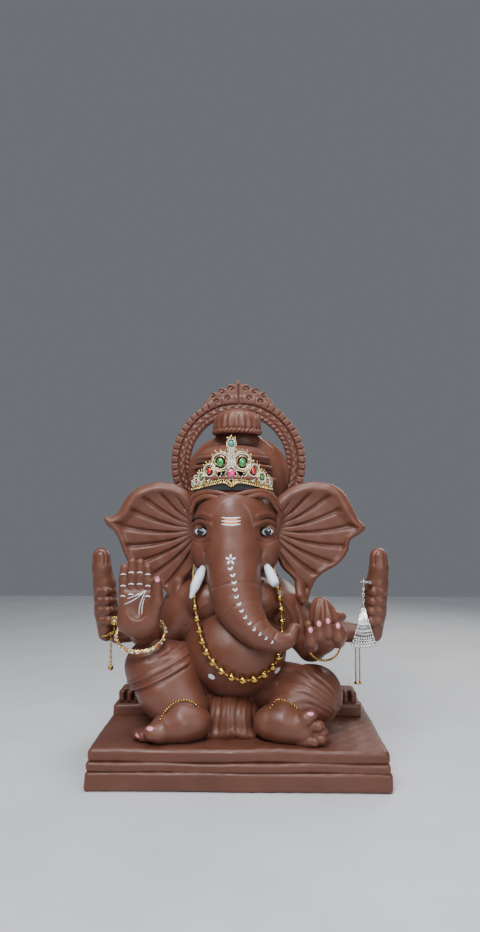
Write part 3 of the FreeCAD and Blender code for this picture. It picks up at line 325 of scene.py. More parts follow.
# ----------------------------------------------------------------------------------------------
# Materials
# ----------------------------------------------------------------------------------------------
class Shader:
    """Node tree helper around one Principled shader."""

    def __init__(self, name):
        self.material = bpy.data.materials.new(name)
        self.material.use_nodes = True
        self.nodes = self.material.node_tree.nodes
        self.links = self.material.node_tree.links
        self.surface = self.nodes["Principled BSDF"]
        self.place = self.nodes.new("ShaderNodeTexCoord").outputs["Object"]

    def set(self, **values):
        for name, value in values.items():
            self.surface.inputs[name.replace("_", " ")].default_value = value
        return self

    def noise(self, scale, detail=3.0, rough=0.55):
        node = self.nodes.new("ShaderNodeTexNoise")
        node.inputs["Scale"].default_value = scale
        node.inputs["Detail"].default_value = detail
        node.inputs["Roughness"].default_value = rough
        self.links.new(self.place, node.inputs["Vector"])
        return node.outputs["Fac"]

    def cells(self, scale):
        node = self.nodes.new("ShaderNodeTexVoronoi")
        node.inputs["Scale"].default_value = scale
        self.links.new(self.place, node.inputs["Vector"])
        return node.outputs["Distance"]

    def ramp(self, value, *stops):
        node = self.nodes.new("ShaderNodeValToRGB")
        elements = node.color_ramp.elements
        while len(elements) < len(stops):
            elements.new(0.5)
        for element, (position, colour) in zip(elements, stops):
            element.position = position
            element.color = colour if len(colour) == 4 else (*colour, 1)
        self.links.new(value, node.inputs["Fac"])
        return node.outputs["Color"]

    def mix(self, share, first, second, kind="MIX"):
        node = self.nodes.new("ShaderNodeMix")
        node.data_type = "RGBA"
        node.blend_type = kind
        for name, value in (("Factor", share), ("A", first), ("B", second)):
            socket = next(s for s in node.inputs if s.name == name and s.enabled)
            if isinstance(value, bpy.types.NodeSocket):
                self.links.new(value, socket)
            else:
                socket.default_value = value
        return next(s for s in node.outputs if s.enabled)

    def bump(self, *layers):
        """Each layer is (height output, strength, distance in metres)."""
        last = None
        for height, strength, distance in layers:
            node = self.nodes.new("ShaderNodeBump")
            node.inputs["Strength"].default_value = strength
            node.inputs["Distance"].default_value = distance
            self.links.new(height, node.inputs["Height"])
            if last is not None:
                self.links.new(last, node.inputs["Normal"])
            last = node.outputs["Normal"]
        self.links.new(last, self.surface.inputs["Normal"])
        return self

    def colour(self, output):
        self.links.new(output, self.surface.inputs["Base Color"])
        return self

    def roughness(self, output):
        self.links.new(output, self.surface.inputs["Roughness"])
        return self

    def pointiness(self):
        return self.nodes.new("ShaderNodeNewGeometry").outputs["Pointiness"]


def grey(value):
    return (value, value, value, 1)


def clay_material(name, tint=1.0):
    """Smoothed, unglazed dark terracotta: brown drifts, dusty high spots, painted shade in the creases, fine
    pores.
    """
    shader = Shader(name)
    dark = (0.078 * tint, 0.022 * tint, 0.010 * tint, 1)
    base = (0.132 * tint, 0.042 * tint, 0.022 * tint, 1)
    dusty = (0.180 * tint, 0.074 * tint, 0.050 * tint, 1)
    drift = shader.ramp(shader.noise(22, 5), (0.30, dark), (0.48, base), (0.72, dusty))
    body = shader.mix(0.62, drift, base)
    # Painted shade: pointiness darkens the colour in creases and hollows, and makes it slightly lighter on
    # sharp convex edges.
    creases = shader.ramp(shader.pointiness(), (0.43, grey(0.30)), (0.495, grey(1.0)), (0.56, grey(1.28)))
    shaded = shader.mix(1.0, body, creases, "MULTIPLY")
    specks = shader.ramp(shader.noise(900, 2), (0.60, grey(1.0)), (0.74, grey(0.72)))
    shader.colour(shader.mix(1.0, shaded, specks, "MULTIPLY"))
    shader.roughness(shader.ramp(shader.noise(55, 4), (0.3, grey(0.36)), (0.7, grey(0.54))))
    shader.set(Specular_IOR_Level=0.5, Sheen_Weight=0.06, Sheen_Roughness=0.4,
               Sheen_Tint=(0.85, 0.72, 0.82, 1))
    shader.bump((shader.noise(38, 4), 0.35, 0.0012), (shader.noise(210, 4), 0.30, 0.0004),
                (shader.noise(1500, 2), 0.22, 0.00012))
    return shader.material


def metal_material(name, colour, roughness, scale=700, glitter=0.4):
    """Plated metal with small dents, tarnish in the hollows and rubbed high spots."""
    shader = Shader(name)
    worn = tuple(min(1, c * 1.18) for c in colour)
    dull = tuple(c * 0.45 for c in colour)
    shader.colour(shader.ramp(shader.noise(scale * 0.35, 4), (0.32, dull), (0.5, colour), (0.75, worn)))
    shader.set(Metallic=1.0)
    shader.roughness(shader.ramp(shader.noise(scale * 0.6, 3), (0.35, grey(roughness * 0.7)),
                                 (0.7, grey(min(1, roughness * 1.6)))))
    shader.bump((shader.cells(scale), glitter, 0.0003), (shader.noise(scale * 2), 0.2, 0.0001))
    return shader.material


def paint_material(name, colour, roughness=0.45, wear=0.85):
    """Hand-brushed acrylic: uneven thickness and faint brush marks."""
    shader = Shader(name)
    thin = tuple(c * wear for c in colour)
    shader.colour(shader.ramp(shader.noise(420, 4), (0.3, thin), (0.62, colour)))
    shader.roughness(shader.ramp(shader.noise(300, 3), (0.3, grey(roughness * 0.8)),
                                 (0.7, grey(roughness * 1.25))))
    shader.set(Specular_IOR_Level=0.5)
    shader.bump((shader.noise(800, 3), 0.25, 0.0001))
    return shader.material


def stone_material(name, colour):
    """Paste stone: clear coat over saturated glass, with tiny facets and flaws."""
    shader = Shader(name)
    deep = tuple(c * 0.35 for c in colour)
    shader.colour(shader.ramp(shader.cells(900), (0.1, deep), (0.45, colour), (0.8, colour)))
    shader.set(Roughness=0.06, Specular_IOR_Level=0.9, Coat_Weight=1.0, Coat_Roughness=0.03)
    shader.bump((shader.cells(700), 0.5, 0.0003))
    return shader.material


def felt_material(name):
    shader = Shader(name)
    dark, worn = (0.006, 0.006, 0.007), (0.035, 0.033, 0.036)
    shader.colour(shader.ramp(shader.noise(1300, 4), (0.3, dark), (0.8, worn)))
    shader.set(Roughness=0.95, Sheen_Weight=0.5)
    shader.bump((shader.noise(2200, 3), 0.8, 0.0004))
    return shader.material


CLAY = clay_material("terracotta_clay")
CLAY_DARK = clay_material("terracotta_base", 0.86)
GOLD = metal_material("gold_plate", (0.56, 0.35, 0.09), 0.17)
GLITTER = metal_material("glitter_gold", (0.86, 0.64, 0.27), 0.16, 420, 1.0)
SILVER = metal_material("silver_tone", (0.86, 0.85, 0.82), 0.18, 600, 0.7)
WHITE = paint_material("white_paint", (0.80, 0.84, 0.90))
ORANGE = paint_material("orange_paint", (0.85, 0.22, 0.03))
NAIL = paint_material("pink_nail_paint", (0.80, 0.30, 0.42), 0.3)
BLACK = paint_material("black_paint", (0.012, 0.010, 0.012), 0.35)
IRIS = paint_material("grey_iris_paint", (0.030, 0.034, 0.040), 0.2)
CORAL = paint_material("eye_corner_paint", (0.32, 0.20, 0.17), 0.3)
PINK_STONE = stone_material("pink_stone", (0.85, 0.02, 0.22))
TEAL_STONE = stone_material("teal_stone", (0.01, 0.36, 0.34))
CLEAR_STONE = stone_material("clear_stone", (0.92, 0.94, 0.96))
RED_STONE = stone_material("red_stone", (0.55, 0.01, 0.02))
GREEN_STONE = stone_material("green_stone", (0.02, 0.30, 0.06))
FELT = felt_material("black_felt")
THREAD = paint_material("link_cord", (0.52, 0.30, 0.06), 0.4)


# ----------------------------------------------------------------------------------------------
# Base and ledge
# ----------------------------------------------------------------------------------------------
def hand_rolled(seed, amount=0.9):
    """Slow bends of a clay slab's edges and faces, different for each layer."""
    def wave(x, y, z):
        lift = amount * (np.sin(x / 31 + seed) + 0.6 * np.sin(x / 13 + 2 * seed)) * 0.5
        push = amount * (np.sin(x / 24 + 3 * seed) * np.cos(z / 7 + seed) + 0.5 * np.sin(y / 17 + seed))
        return x + 0.5 * push, y + push, z + lift
    return wave


def build_base():
    for number, (node, edge) in enumerate((("base_bottom_layer", 4.0), ("base_middle_layer", 3.4),
                                           ("base_top_layer", 5.0))):
        low, high = box_mm(node)
        bottom = low[2] if number == 0 else low[2] - 0.8
        clay = Clay(low - 2, high + 2, 1.1)
        clay.slab((low[0] + 1.5, low[1] + 1.5, bottom), (high[0] - 1.5, high[1] - 1.5, high[2] + 0.4), edge,
                  wave=hand_rolled(1.7 * number + 0.6, 1.1 if number else 0.6))
        if number == 0:
            clay.slab(low - 6, (high[0] + 6, high[1] + 6, low[2]), 0.2, 0.6, take=True)
        clay.unevenness(0.22, 21)
        finish_piece(clay.mesh(f"clay_{node}"), CLAY_DARK, replaces=[node])


def build_ledge():
    low, high = box_mm("rear_ledge_lower")
    clay = Clay(low - 2, high + 2, 1.2)
    clay.slab((low[0], low[1], low[2] - 2), high, 4, wave=hand_rolled(0.4))
    finish_piece(clay.mesh("clay_ledge_lower"), CLAY_DARK, replaces=["rear_ledge_lower"])
    low, high = box_mm("rear_ledge_upper")
    clay = Clay(low - 2, high + 2, 1.2)
    clay.slab((low[0], low[1], low[2] - 1.5), high, 4, wave=hand_rolled(2.2))
    for end, inward in ((low[0], 1), (high[0], -1)):
        for number in range(2):
            middle = end + inward * (9 + 9 * number)
            clay.slab((middle - 2, low[1] - 4, low[2] + 1), (middle + 2, low[1] + 11, high[2] + 3), 1, 1,
                      take=True)
    finish_piece(clay.mesh("clay_ledge_upper"), CLAY_DARK, replaces=["rear_ledge_upper"])


# ----------------------------------------------------------------------------------------------
# Body, arms, legs and feet
# ----------------------------------------------------------------------------------------------
def build_body():
    """Torso, belly, breasts, neck and the four arms, worked into one another."""
    clay = Clay((-164, -74, FLOOR), (162, 46, 246), 0.95)
    clay.ball((-8, 0, 138), (61, 40, 102))
    clay.ball((-8, 4, 70), (76, 42, 40), 14)
    clay.limb([(-8, 2, 205), (-7, 0, 240)], [34, 31], 12)
    for x in (-35, 22):
        clay.ball((x, -26, 187), (25, 23, 23), 7)
    clay.limb([P["right_shoulder"], P["right_elbow"]], [25, 17], 10)
    clay.limb([P["right_elbow"], P["right_wrist"]], [17, 12.5], 5, ridges=((36, -0.8, 1.4), (41, -0.6, 1.2)))
    clay.limb([P["left_shoulder"], P["left_elbow"]], [25, 17], 10)
    clay.limb([P["left_elbow"], P["left_wrist"]], [17, 12.5], 5)
    for side in ("right", "left"):
        clay.limb([P[f"rear_{side}_shoulder"], P[f"rear_{side}_elbow"], P[f"rear_{side}_wrist"]],
                  [21, 14.5, 11], 10, within=6)
    clay.ball((-5, -17, 128), (59, 55, 53), 2.5)
    clay.engrave([(-62, 160), (-50, 178), (-36, 186)], -0.9, 2.2, high_y=0)
    clay.engrave([(58, 148), (60, 162), (54, 176), (44, 188)], 1.6, 2.0, high_y=0)
    clay.engrave([(66, 150), (69, 164), (64, 180)], 1.4, 2.0, high_y=0)
    clay.unevenness(0.28, 34)
    return finish_piece(clay.mesh("clay_body"), CLAY,
                        replaces=["torso", "belly", "breasts", "neck_collar", "front_right_arm",
                                  "front_left_arm", "rear_right_arm", "rear_left_arm"])


def build_right_leg():
    """Raised knee: broad thigh and shin with the wrap's two hem bands across it."""
    clay = Clay((-130, -84, FLOOR - 1), (2, 30, 148), 0.8)
    clay.limb([P["right_hip"], P["right_knee"]], [35, 29.5])
    clay.limb([(-76, -34, 108), P["right_knee"]], [31, 29], 8)
    clay.limb([P["right_knee"], (-84, -50, 88), P["right_ankle"]], [30, 27, 22], 8, within=8)
    clay.limb([(-70, -46, 104), (-55, -56, 74)], [20, 21], 8)
    for lift in (0, 9):
        clay.engrave([(-134, 84 + lift), (-118, 92 + lift), (-98, 102 + lift), (-76, 112 + lift),
                      (-56, 122 + lift)], -1.5, 1.8, high_y=0)
    clay.engrave([(-134, 80), (-118, 88), (-98, 98), (-76, 108), (-56, 118)], 1.3, 1.5, high_y=0)
    clay.engrave([(-132, 89), (-116, 97), (-96, 107), (-74, 117)], 0.8, 1.3, high_y=0)
    for shift in range(3):
        clay.engrave([(-112 + 13 * shift, 124 + 2 * shift), (-96 + 13 * shift, 128 + 2 * shift),
                      (-80 + 11 * shift, 136 + shift)], 0.7, 1.6, high_y=0)
    clay.unevenness(0.25, 30)
    clay.slab((-140, -90, FLOOR - 20), (20, 40, FLOOR - 1), 0.2, take=True)
    return finish_piece(clay.mesh("clay_right_leg"), CLAY, replaces=["right_leg"])


def build_left_leg():
    """Folded leg lying low, with drawn cloth folds over the thigh and knee."""
    clay = Clay((-6, -84, FLOOR - 1), (118, 30, 122), 0.8)
    clay.limb([P["left_hip"], P["left_knee"]], [34, 31.5])
    clay.limb([P["left_knee"], P["left_ankle"]], [31, 21], 8)
    for number in range(5):
        drop = 9 * number
        clay.engrave([(36 + 4 * number, 116 - drop), (58 + 4 * number, 118 - drop),
                      (80 + 3 * number, 110 - drop), (98 + 2 * number, 97 - drop),
                      (110 + number, 80 - drop)], 1.2 - 0.12 * number, 1.9, high_y=0)
    clay.unevenness(0.25, 27)
    clay.slab((-20, -90, FLOOR - 20), (130, 40, FLOOR - 1), 0.2, take=True)
    return finish_piece(clay.mesh("clay_left_leg"), CLAY, replaces=["left_leg"])


def build_right_foot():
    """Foot turned out to the right: round heel and instep, great toe up, small toes beside it."""
    clay = Clay((-122, -98, FLOOR - 1), (-14, -40, 88), 0.6)
    clay.limb([(-49, -68, 61), (-62, -71, 60), (-78, -73, 56), (-88, -76, 52)], [19, 19, 15, 11], within=6)
    clay.limb([(-66, -56, 70), (-60, -64, 64)], [22, 19], 8)
    clay.limb([(-84, -83, 53), (-92, -85, 54.5)], [9.5, 8.6], 3)
    for number, (x, y, z) in enumerate(((-103, -78, 48.5), (-109, -72.5, 48), (-110, -66, 47.6),
                                        (-107, -60, 47.4))):
        clay.limb([(x + 16, y + 1, z + 2), (x, y, z)], [6.6, 5.6 - 0.25 * number], 1.8)
    clay.slab((-140, -110, FLOOR - 20), (20, 0, FLOOR - 0.6), 0.2, take=True)
    clay.unevenness(0.15, 19)
    return finish_piece(clay.mesh("clay_right_foot"), CLAY, replaces=["right_foot"])


def build_left_foot():
    """Foot turned out to the left, its toes curled up one behind another."""
    clay = Clay((2, -100, FLOOR - 1), (112, -40, 88), 0.6)
    clay.limb([(34, -69, 61), (48, -72, 61), (62, -75, 58), (70, -78, 54)], [18, 19, 16.5, 13], within=6)
    clay.limb([(52, -56, 68), (46, -66, 64)], [21, 18], 8)
    clay.limb([(62, -82, 62), (72, -85, 70), (77, -85, 73.5)], [9, 7.4, 6.2], 2.5, within=2)
    for number, (x, y, z) in enumerate(((85, -87, 63), (89, -85, 56), (88, -87, 49.5), (80, -89, 47.6))):
        clay.limb([(x - 14, y + 7, z - 1), (x, y, z)], [7, 6.0 - 0.2 * number], 1.2)
    clay.slab((-20, -110, FLOOR - 20), (130, 0, FLOOR - 0.6), 0.2, take=True)
    clay.unevenness(0.15, 19)
    return finish_piece(clay.mesh("clay_left_foot"), CLAY, replaces=["left_foot"])


def build_drape():
    """Cloth of the wrap hanging between the legs, with gathered folds and a turned edge."""
    clay = Clay((-46, -76, FLOOR - 1), (30, -6, 92), 0.7)
    clay.ball((-9, -34, 58), (34, 34, 27))
    clay.slab((-38, -66, FLOOR - 6), (20, -20, FLOOR + 7), 4, 12)
    for number, x in enumerate((-30, -21, -12, -3, 6, 14)):
        clay.engrave([(x + 2, 86), (x - 1 + number * 0.4, 66), (x + 1.5 * (number - 2.5), 44)],
                     1.3 if number % 2 else -0.9, 2.0, high_y=-10)
    clay.limb([(-26, -64, FLOOR + 4), (-14, -66, FLOOR + 6.5), (-6, -66, FLOOR + 8), (4, -66, FLOOR + 5),
               (14, -63, FLOOR + 4)], [3.4, 3.0, 3.6, 3.0, 3.2], 4)
    clay.slab((-140, -110, FLOOR - 20), (120, 10, FLOOR - 0.6), 0.2, take=True)
    return finish_piece(clay.mesh("clay_drape"), CLAY, replaces=["hip_drape"])


# ----------------------------------------------------------------------------------------------
# Hands, and what they hold
# ----------------------------------------------------------------------------------------------
def build_rear_fists():
    """Column fists: thumb straight up, four curled fingers across the front, nub below."""
    for side, turn in (("right", 1), ("left", -1)):
        low, high = box_mm(f"rear_{side}_hand")
        palm, top, thumb = P[f"{side}_fist"], P[f"{side}_fist_top"], P[f"{side}_fist_thumb"]
        clay = Clay(low - 1.5, high + 1.5, 0.6)
        clay.limb([palm - (0, 0, 24), palm, top], [10, 14.5, 13.5])
        clay.limb([top, (top + thumb) / 2 + (-1.2 * turn, -2, 2), thumb + (0, -1, -1)], [13, 11.5, 10.5], 2.5)
        clay.engrave([(thumb[0] - 6, thumb[2] - 10), (thumb[0] - 5, thumb[2] + 3), (thumb[0], thumb[2] + 6),
                      (thumb[0] + 5, thumb[2] + 3), (thumb[0] + 6, thumb[2] - 10)], 0.8, 1.0, high_y=0)
        for number in range(4):
            height = palm[2] - 8 + 11.4 * number
            outer = palm + (0.1 * (height - palm[2]) * -turn, 0, height - palm[2])
            clay.limb([outer + (-9 * turn, 4, 0.5), outer + (-5 * turn, -9, 0.8),
                       outer + (4 * turn, -11, 0.2), outer + (10 * turn, -4, -0.6)],
                      [4.6, 5.6, 5.6, 4.8], 1.0, within=3)
        clay.limb([palm - (0, 1, 26), palm - (0, 2, 19)], [5.2, 8], 3)
        clay.unevenness(0.12, 15)
        finish_piece(clay.mesh(f"clay_rear_{side}_hand"), CLAY,
                     replaces=[f"rear_{side}_hand"])


def build_front_right_hand():
    """Raised open palm: flat fingers pressed together, short thumb to the viewer's right."""
    clay = Clay((-137, -82, 136), (-80, -40, 244), 0.55)
    palm = P["right_palm"]
    clay.limb([P["right_wrist"], palm + (1, 3, -12)], [12.5, 14.5])
    clay.slab(palm + (-22, -9, -24), palm + (20, 6, 24), 8.5, 8)
    clay.ball(palm + (-1, -1, -14), (22, 9.5, 17), 6)
    tips = ((-16.5, 45, 5.6), (-7.5, 51, 5.9), (1.8, 50, 6.0), (10.5, 45, 5.8))
    for shift, rise, radius in tips:
        clay.limb([palm + (shift, -1, 8), palm + (shift, -2, rise - 14), palm + (shift * 0.95, -3, rise)],
                  [radius, radius * 0.99, radius * 0.82], 1.1)
    clay.limb([palm + (13, -1, -14), palm + (21, -5, 8), palm + (21.5, -8, 30)], [9, 7.4, 5.2], 4, within=3)
    NAILS["right"].append((palm[0] + 22, palm[2] + 33, 3.0))
    clay.ball(palm + (0, -11, 1), (9, 4.5, 11), 4, take=True)
    clay.unevenness(0.10, 14)
    finish_piece(clay.mesh("clay_front_right_hand"), CLAY, replaces=["front_right_hand"])


NAILS = {"right": [], "left": []}  # (x, z, size) of each hand's painted nails, in millimetres


def build_front_left_hand():
    """Cupped hand in front of the sweet: curled fingers whose nails face the viewer."""
    clay = Clay((70, -98, 136), (126, -48, 185), 0.55)
    clay.limb([P["left_wrist"], (97, -60, 152)], [12.5, 14])
    clay.ball((97, -70, 155), (21, 17, 14), 7)
    clay.limb([(78, -66, 158), (76, -74, 166)], [8, 5.6], 4)
    for x, z in ((76.5, 163.5), (85.5, 170), (95, 173), (105.5, 168)):
        clay.limb([(x + 2, -75, z - 19), (x + 1, -86, z - 13), (x, -87, z - 1)],
                  [7.4, 6.2, 4.9], 1.2, within=3)
        NAILS["left"].append((x, z, 2.7))
    clay.unevenness(0.12, 14)
    finish_piece(clay.mesh("clay_front_left_hand"), CLAY, replaces=["front_left_hand"])


def build_modak():
    """Pleated sweet, gathered to a point."""
    low, high = box_mm("modak")
    middle = (low + high) / 2
    clay = Clay(low - 5, high + (12, 5, 1), 0.5)

    def pleated(x, y, z):
        turn = np.arctan2(y - middle[1], x - middle[0])
        climb = np.clip((z - low[2]) / (high[2] - low[2]), 0, 1)
        radius = 15.5 * np.sqrt(np.clip(1 - climb ** 1.5, 0, 1)) * (1 + 0.06 * np.cos(11 * turn)) + 1.4
        flat = np.sqrt((x - middle[0] + 7 * climb - 3) ** 2 + (y - middle[1]) ** 2) - radius
        return np.maximum(flat, np.maximum(z - high[2], low[2] + 6 - z)) * 0.8
    clay.put(pleated, low - 4, high + (9, 4, 1))
    clay.ball((middle[0] + 6, middle[1] + 2, low[2] + 10), (19, 13, 8), 4)
    finish_piece(clay.mesh("clay_modak"), CLAY, replaces=["modak"])


# ----------------------------------------------------------------------------------------------
# Head, trunk, ears, tusks, eyes and hair
# ----------------------------------------------------------------------------------------------
TRUNK = [((-8, -24, 285), 32), ((-7, -33, 252), 32), ((-6, -43, 220), 31), ((-1, -57, 186), 26.5),
         ((18, -75, 160), 17), ((41, -83, 150), 10.5), ((54, -81, 152), 8), ((60, -79, 163), 6.2)]
EYES = (("right", -44.5, -27.5, 265.5), ("left", 32, -27.5, 265.5))


def build_head():
    """Elephant head: domed forehead running into the trunk, full cheeks, eye hollows and folds."""
    clay = Clay((-66, -97, 134), (68, 40, 330), 0.8)
    clay.ball((-6, -6, 272), (49, 43, 57))
    clay.ball((-8, -22, 284), (37, 30, 29), 12)
    for x in (-38, 27):
        clay.ball((x, -21, 243), (19.5, 21, 25), 9)
    points, radii = zip(*TRUNK)
    along = smooth_line(points, 4)
    wide = smooth_line([(radius, 0) for radius in radii], 4)[:, 0]
    length = np.sum(np.linalg.norm(np.diff(along, axis=0), axis=1))
    folds = tuple((where * length, -1.0, 1.3) for where in (0.45, 0.52, 0.59, 0.66, 0.73, 0.79, 0.85))
    clay.limb(along, wide, 9, within=1.5, ridges=folds)
    for side, x, y, z in EYES:
        inward = 1 if side == "right" else -1
        clay.ball((x, y - 8, z), (11, 8, 7.5), 6, take=True)
        clay.ball((x, y, z), (9.2, 9.2, 8.2), 1.5)
        clay.engrave([(x - 12, z + 8), (x, z + 12), (x + 12, z + 8)], -1.6, 2.6, high_y=0)
        clay.engrave([(x - 10, z - 9), (x, z - 12.5), (x + 10, z - 9)], 0.9, 1.8, high_y=0)
        clay.engrave([(x - 10 * inward, z + 18), (x, z + 21), (x + 10 * inward, z + 18)], -1.5, 2.8, high_y=0)
        clay.engrave([(x + 6 * inward, 243), (x + 9 * inward, 226), (x + 5 * inward, 212)],
                     1.2, 2.4, high_y=-10)
    clay.limb([(-34, -30, 211), (-10, -32, 203), (16, -32, 211)], [8, 9, 8], 8)
    clay.unevenness(0.25, 29)
    finish_piece(clay.mesh("clay_head"), CLAY, replaces=["head", "trunk"])


# Ear outlines as (x, z) from the front. They are rounded from points traced on the photo, which a
# scratch program turned into millimetres, so they are not drawn by hand.
EAR_RIGHT = [(-50, 298), (-59, 310), (-72, 319), (-92, 324), (-112, 321), (-128, 313), (-138, 301),
             (-145, 288), (-153, 283), (-161, 282), (-158, 272), (-148, 263), (-141, 248), (-135, 232),
             (-124, 217), (-108, 205), (-92, 198), (-84, 187), (-74, 180), (-66, 184), (-71, 198),
             (-65, 208), (-54, 222), (-48, 245), (-47, 272)]
EAR_LEFT = [(38, 298), (50, 310), (60, 317), (76, 323), (92, 324), (109, 321), (122, 313), (131, 298),
            (139, 281), (148, 270), (141, 261), (131, 255), (127, 241), (119, 229), (104, 219), (90, 208),
            (84, 194), (79, 181), (72, 178), (68, 185), (71, 198), (63, 209), (50, 222), (40, 245), (38, 272)]
CREASES = 25  # creases between the ear's flutes in a full turn about the root


def build_ear(side, outline, root, out):
    """Thin fluted ear with a wide rolled rim along its top; out is the way it points."""
    low = np.array([min(p[0] for p in outline) - 2, -22, 174], float)
    high = np.array([max(p[0] for p in outline) + 2, 11, 328], float)
    clay = Clay(low, high, 0.65)
    outer = smooth_line(outline + [outline[0]], 5)

    def sheet(x, y, z):
        edge = inside_outline(x, z, outer)
        spread = (x - root[0]) * out
        climb = z - root[1]
        away = np.sqrt(spread ** 2 + climb ** 2)
        bearing = np.arctan2(spread, climb)
        upper = np.clip((z - 262) / 24, 0, 1)
        inner = np.clip((-edge - 3 - 9 * upper) / 5, 0, 1) * np.clip((away - 14) / 22, 0, 1)
        crease = np.exp(-(np.sin(CREASES * bearing / 2 + 0.03 * away) / 0.42) ** 2)
        flutes = inner * (3.3 * crease - 1.2)
        middle = -4.0 - 0.0005 * np.clip(spread, 0, None) ** 2 + flutes + 0.03 * np.clip(spread, 0, 60)
        width = 3.2 + 4.6 * upper
        fade = np.clip((z - 190) / 30, 0.3, 1)
        rim = (2.0 + 2.2 * upper) * np.exp(-((edge + width + 0.6) / width) ** 2) * fade
        return smooth_high(edge, np.abs(y - middle + 0.7 * rim) - 3.2 - rim, 3.4) * 0.85
    clay.put(sheet, low + 2, high - 2)
    lobe = min(outline, key=lambda p: p[1])
    clay.limb([(lobe[0] - 3 * out, -5, lobe[1] + 24), (lobe[0] - 1 * out, -9, lobe[1] + 12),
               (lobe[0] + 2 * out, -10, lobe[1] + 6)], [4.5, 5.2, 4.6], 4)
    clay.unevenness(0.3, 23)
    finish_piece(clay.mesh(f"clay_{side}_ear"), CLAY, replaces=[f"{side}_ear"])


def build_ears():
    build_ear("right", EAR_RIGHT, (-46, 268), -1)
    build_ear("left", EAR_LEFT, (34, 268), 1)


def tube_mesh(points, radii, sides=12, closed=False):
    """Round tube along points with a radius at each; points and radii in millimetres."""
    points = np.array(points, float)
    radii = np.broadcast_to(np.array(radii, float), len(points))
    count = len(points)
    if closed:
        tangents = np.roll(points, -1, axis=0) - np.roll(points, 1, axis=0)
    else:
        tangents = np.gradient(points, axis=0)
    tangents /= np.maximum(np.linalg.norm(tangents, axis=1), 1e-9)[:, None]
    side = np.cross(tangents[0], (0.21, 0.13, 0.97))
    if np.linalg.norm(side) < 1e-3:
        side = np.cross(tangents[0], (1, 0, 0))
    rings = []
    for i in range(count):
        side = side - tangents[i] * (side @ tangents[i])
        side /= np.linalg.norm(side)
        up = np.cross(tangents[i], side)
        turn = np.arange(sides) * 2 * math.pi / sides
        rings.append(points[i] + radii[i] * (np.cos(turn)[:, None] * side + np.sin(turn)[:, None] * up))
    faces = []
    for i in range(count if closed else count - 1):
        here, there = i * sides, ((i + 1) % count) * sides
        for k in range(sides):
            j = (k + 1) % sides
            faces.append((here + k, here + j, there + j, there + k))
    vertices = np.vstack(rings)
    if not closed:
        start, end = len(vertices), len(vertices) + 1
        vertices = np.vstack([vertices, points[0], points[-1]])
        last = (count - 1) * sides
        for k in range(sides):
            j = (k + 1) % sides
            faces.append((start, j, k, start))
            faces.append((end, last + k, last + j, end))
    return vertices, faces


class Bits:
    """Collects small meshes in millimetres and makes one object of them."""

    def __init__(self):
        self.vertices, self.faces, self.materials, self.count = [], [], [], 0

    def add(self, vertices, faces, material=0):
        vertices = np.asarray(vertices, float)
        self.vertices.append(vertices)
        for face in faces:
            clean = [index + self.count for index in dict.fromkeys(face)]
            if len(clean) >= 3:
                self.faces.append(clean)
                self.materials.append(material)
        self.count += len(vertices)

    def tube(self, points, radius, sides=10, closed=False, material=0):
        self.add(*tube_mesh(points, radius, sides, closed), material)

    def ball(self, centre, radii, material=0, rows=8, columns=12):
        radii = np.array([radii] * 3 if np.isscalar(radii) else radii, float)
        vertices = [(0, 0, 1)]
        for row in range(1, rows):
            tilt = math.pi * row / rows
            for column in range(columns):
                turn = 2 * math.pi * column / columns
                vertices.append((math.sin(tilt) * math.cos(turn), math.sin(tilt) * math.sin(turn),
                                 math.cos(tilt)))
        vertices.append((0, 0, -1))
        faces = []
        for column in range(columns):
            after = (column + 1) % columns
            faces.append((0, 1 + column, 1 + after))
            last = 1 + (rows - 2) * columns
            faces.append((len(vertices) - 1, last + after, last + column))
            for row in range(rows - 2):
                top, low = 1 + row * columns, 1 + (row + 1) * columns
                faces.append((top + column, low + column, low + after, top + after))
        self.add(np.array(vertices) * radii + np.array(centre, float), faces, material)

    def make(self, name, materials, slot, body, replaces=()):
        mesh = bpy.data.meshes.new(name)
        mesh.from_pydata((np.vstack(self.vertices) * MM).tolist(), [], self.faces)
        for material in materials:
            mesh.materials.append(material)
        mesh.polygons.foreach_set("material_index", self.materials)
        mesh.polygons.foreach_set("use_smooth", [True] * len(mesh.polygons))
        mesh.update()
        piece = bpy.data.objects.new(name, mesh)
        bpy.context.scene.collection.objects.link(piece)
        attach(piece, body)
        if replaces:
            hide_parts(*replaces)
        return piece


def build_tusks():
    """White painted tusks: one whole and pointed, one broken short."""
    for side, line, widths in (
            ("right", [(-40, -34, 227), (-44, -42, 218), (-49, -50, 206), (-54, -55, 192)],
             (3.0, 5.6, 5.4, 1.4)),
            ("left", [(30, -34, 228), (34, -42, 221), (38, -50, 212), (41, -54, 207)],
             (3.0, 5.2, 6.0, 4.2))):
        route = smooth_line(line, 6)
        reach = np.linspace(0, 1, len(route))
        bits = Bits()
        bits.tube(route, np.interp(reach, (0, 0.35, 0.7, 1), widths), 20)
        bits.make(f"{side}_tusk_painted", [WHITE], "painted_white", "idol", [f"{side}_tusk"])


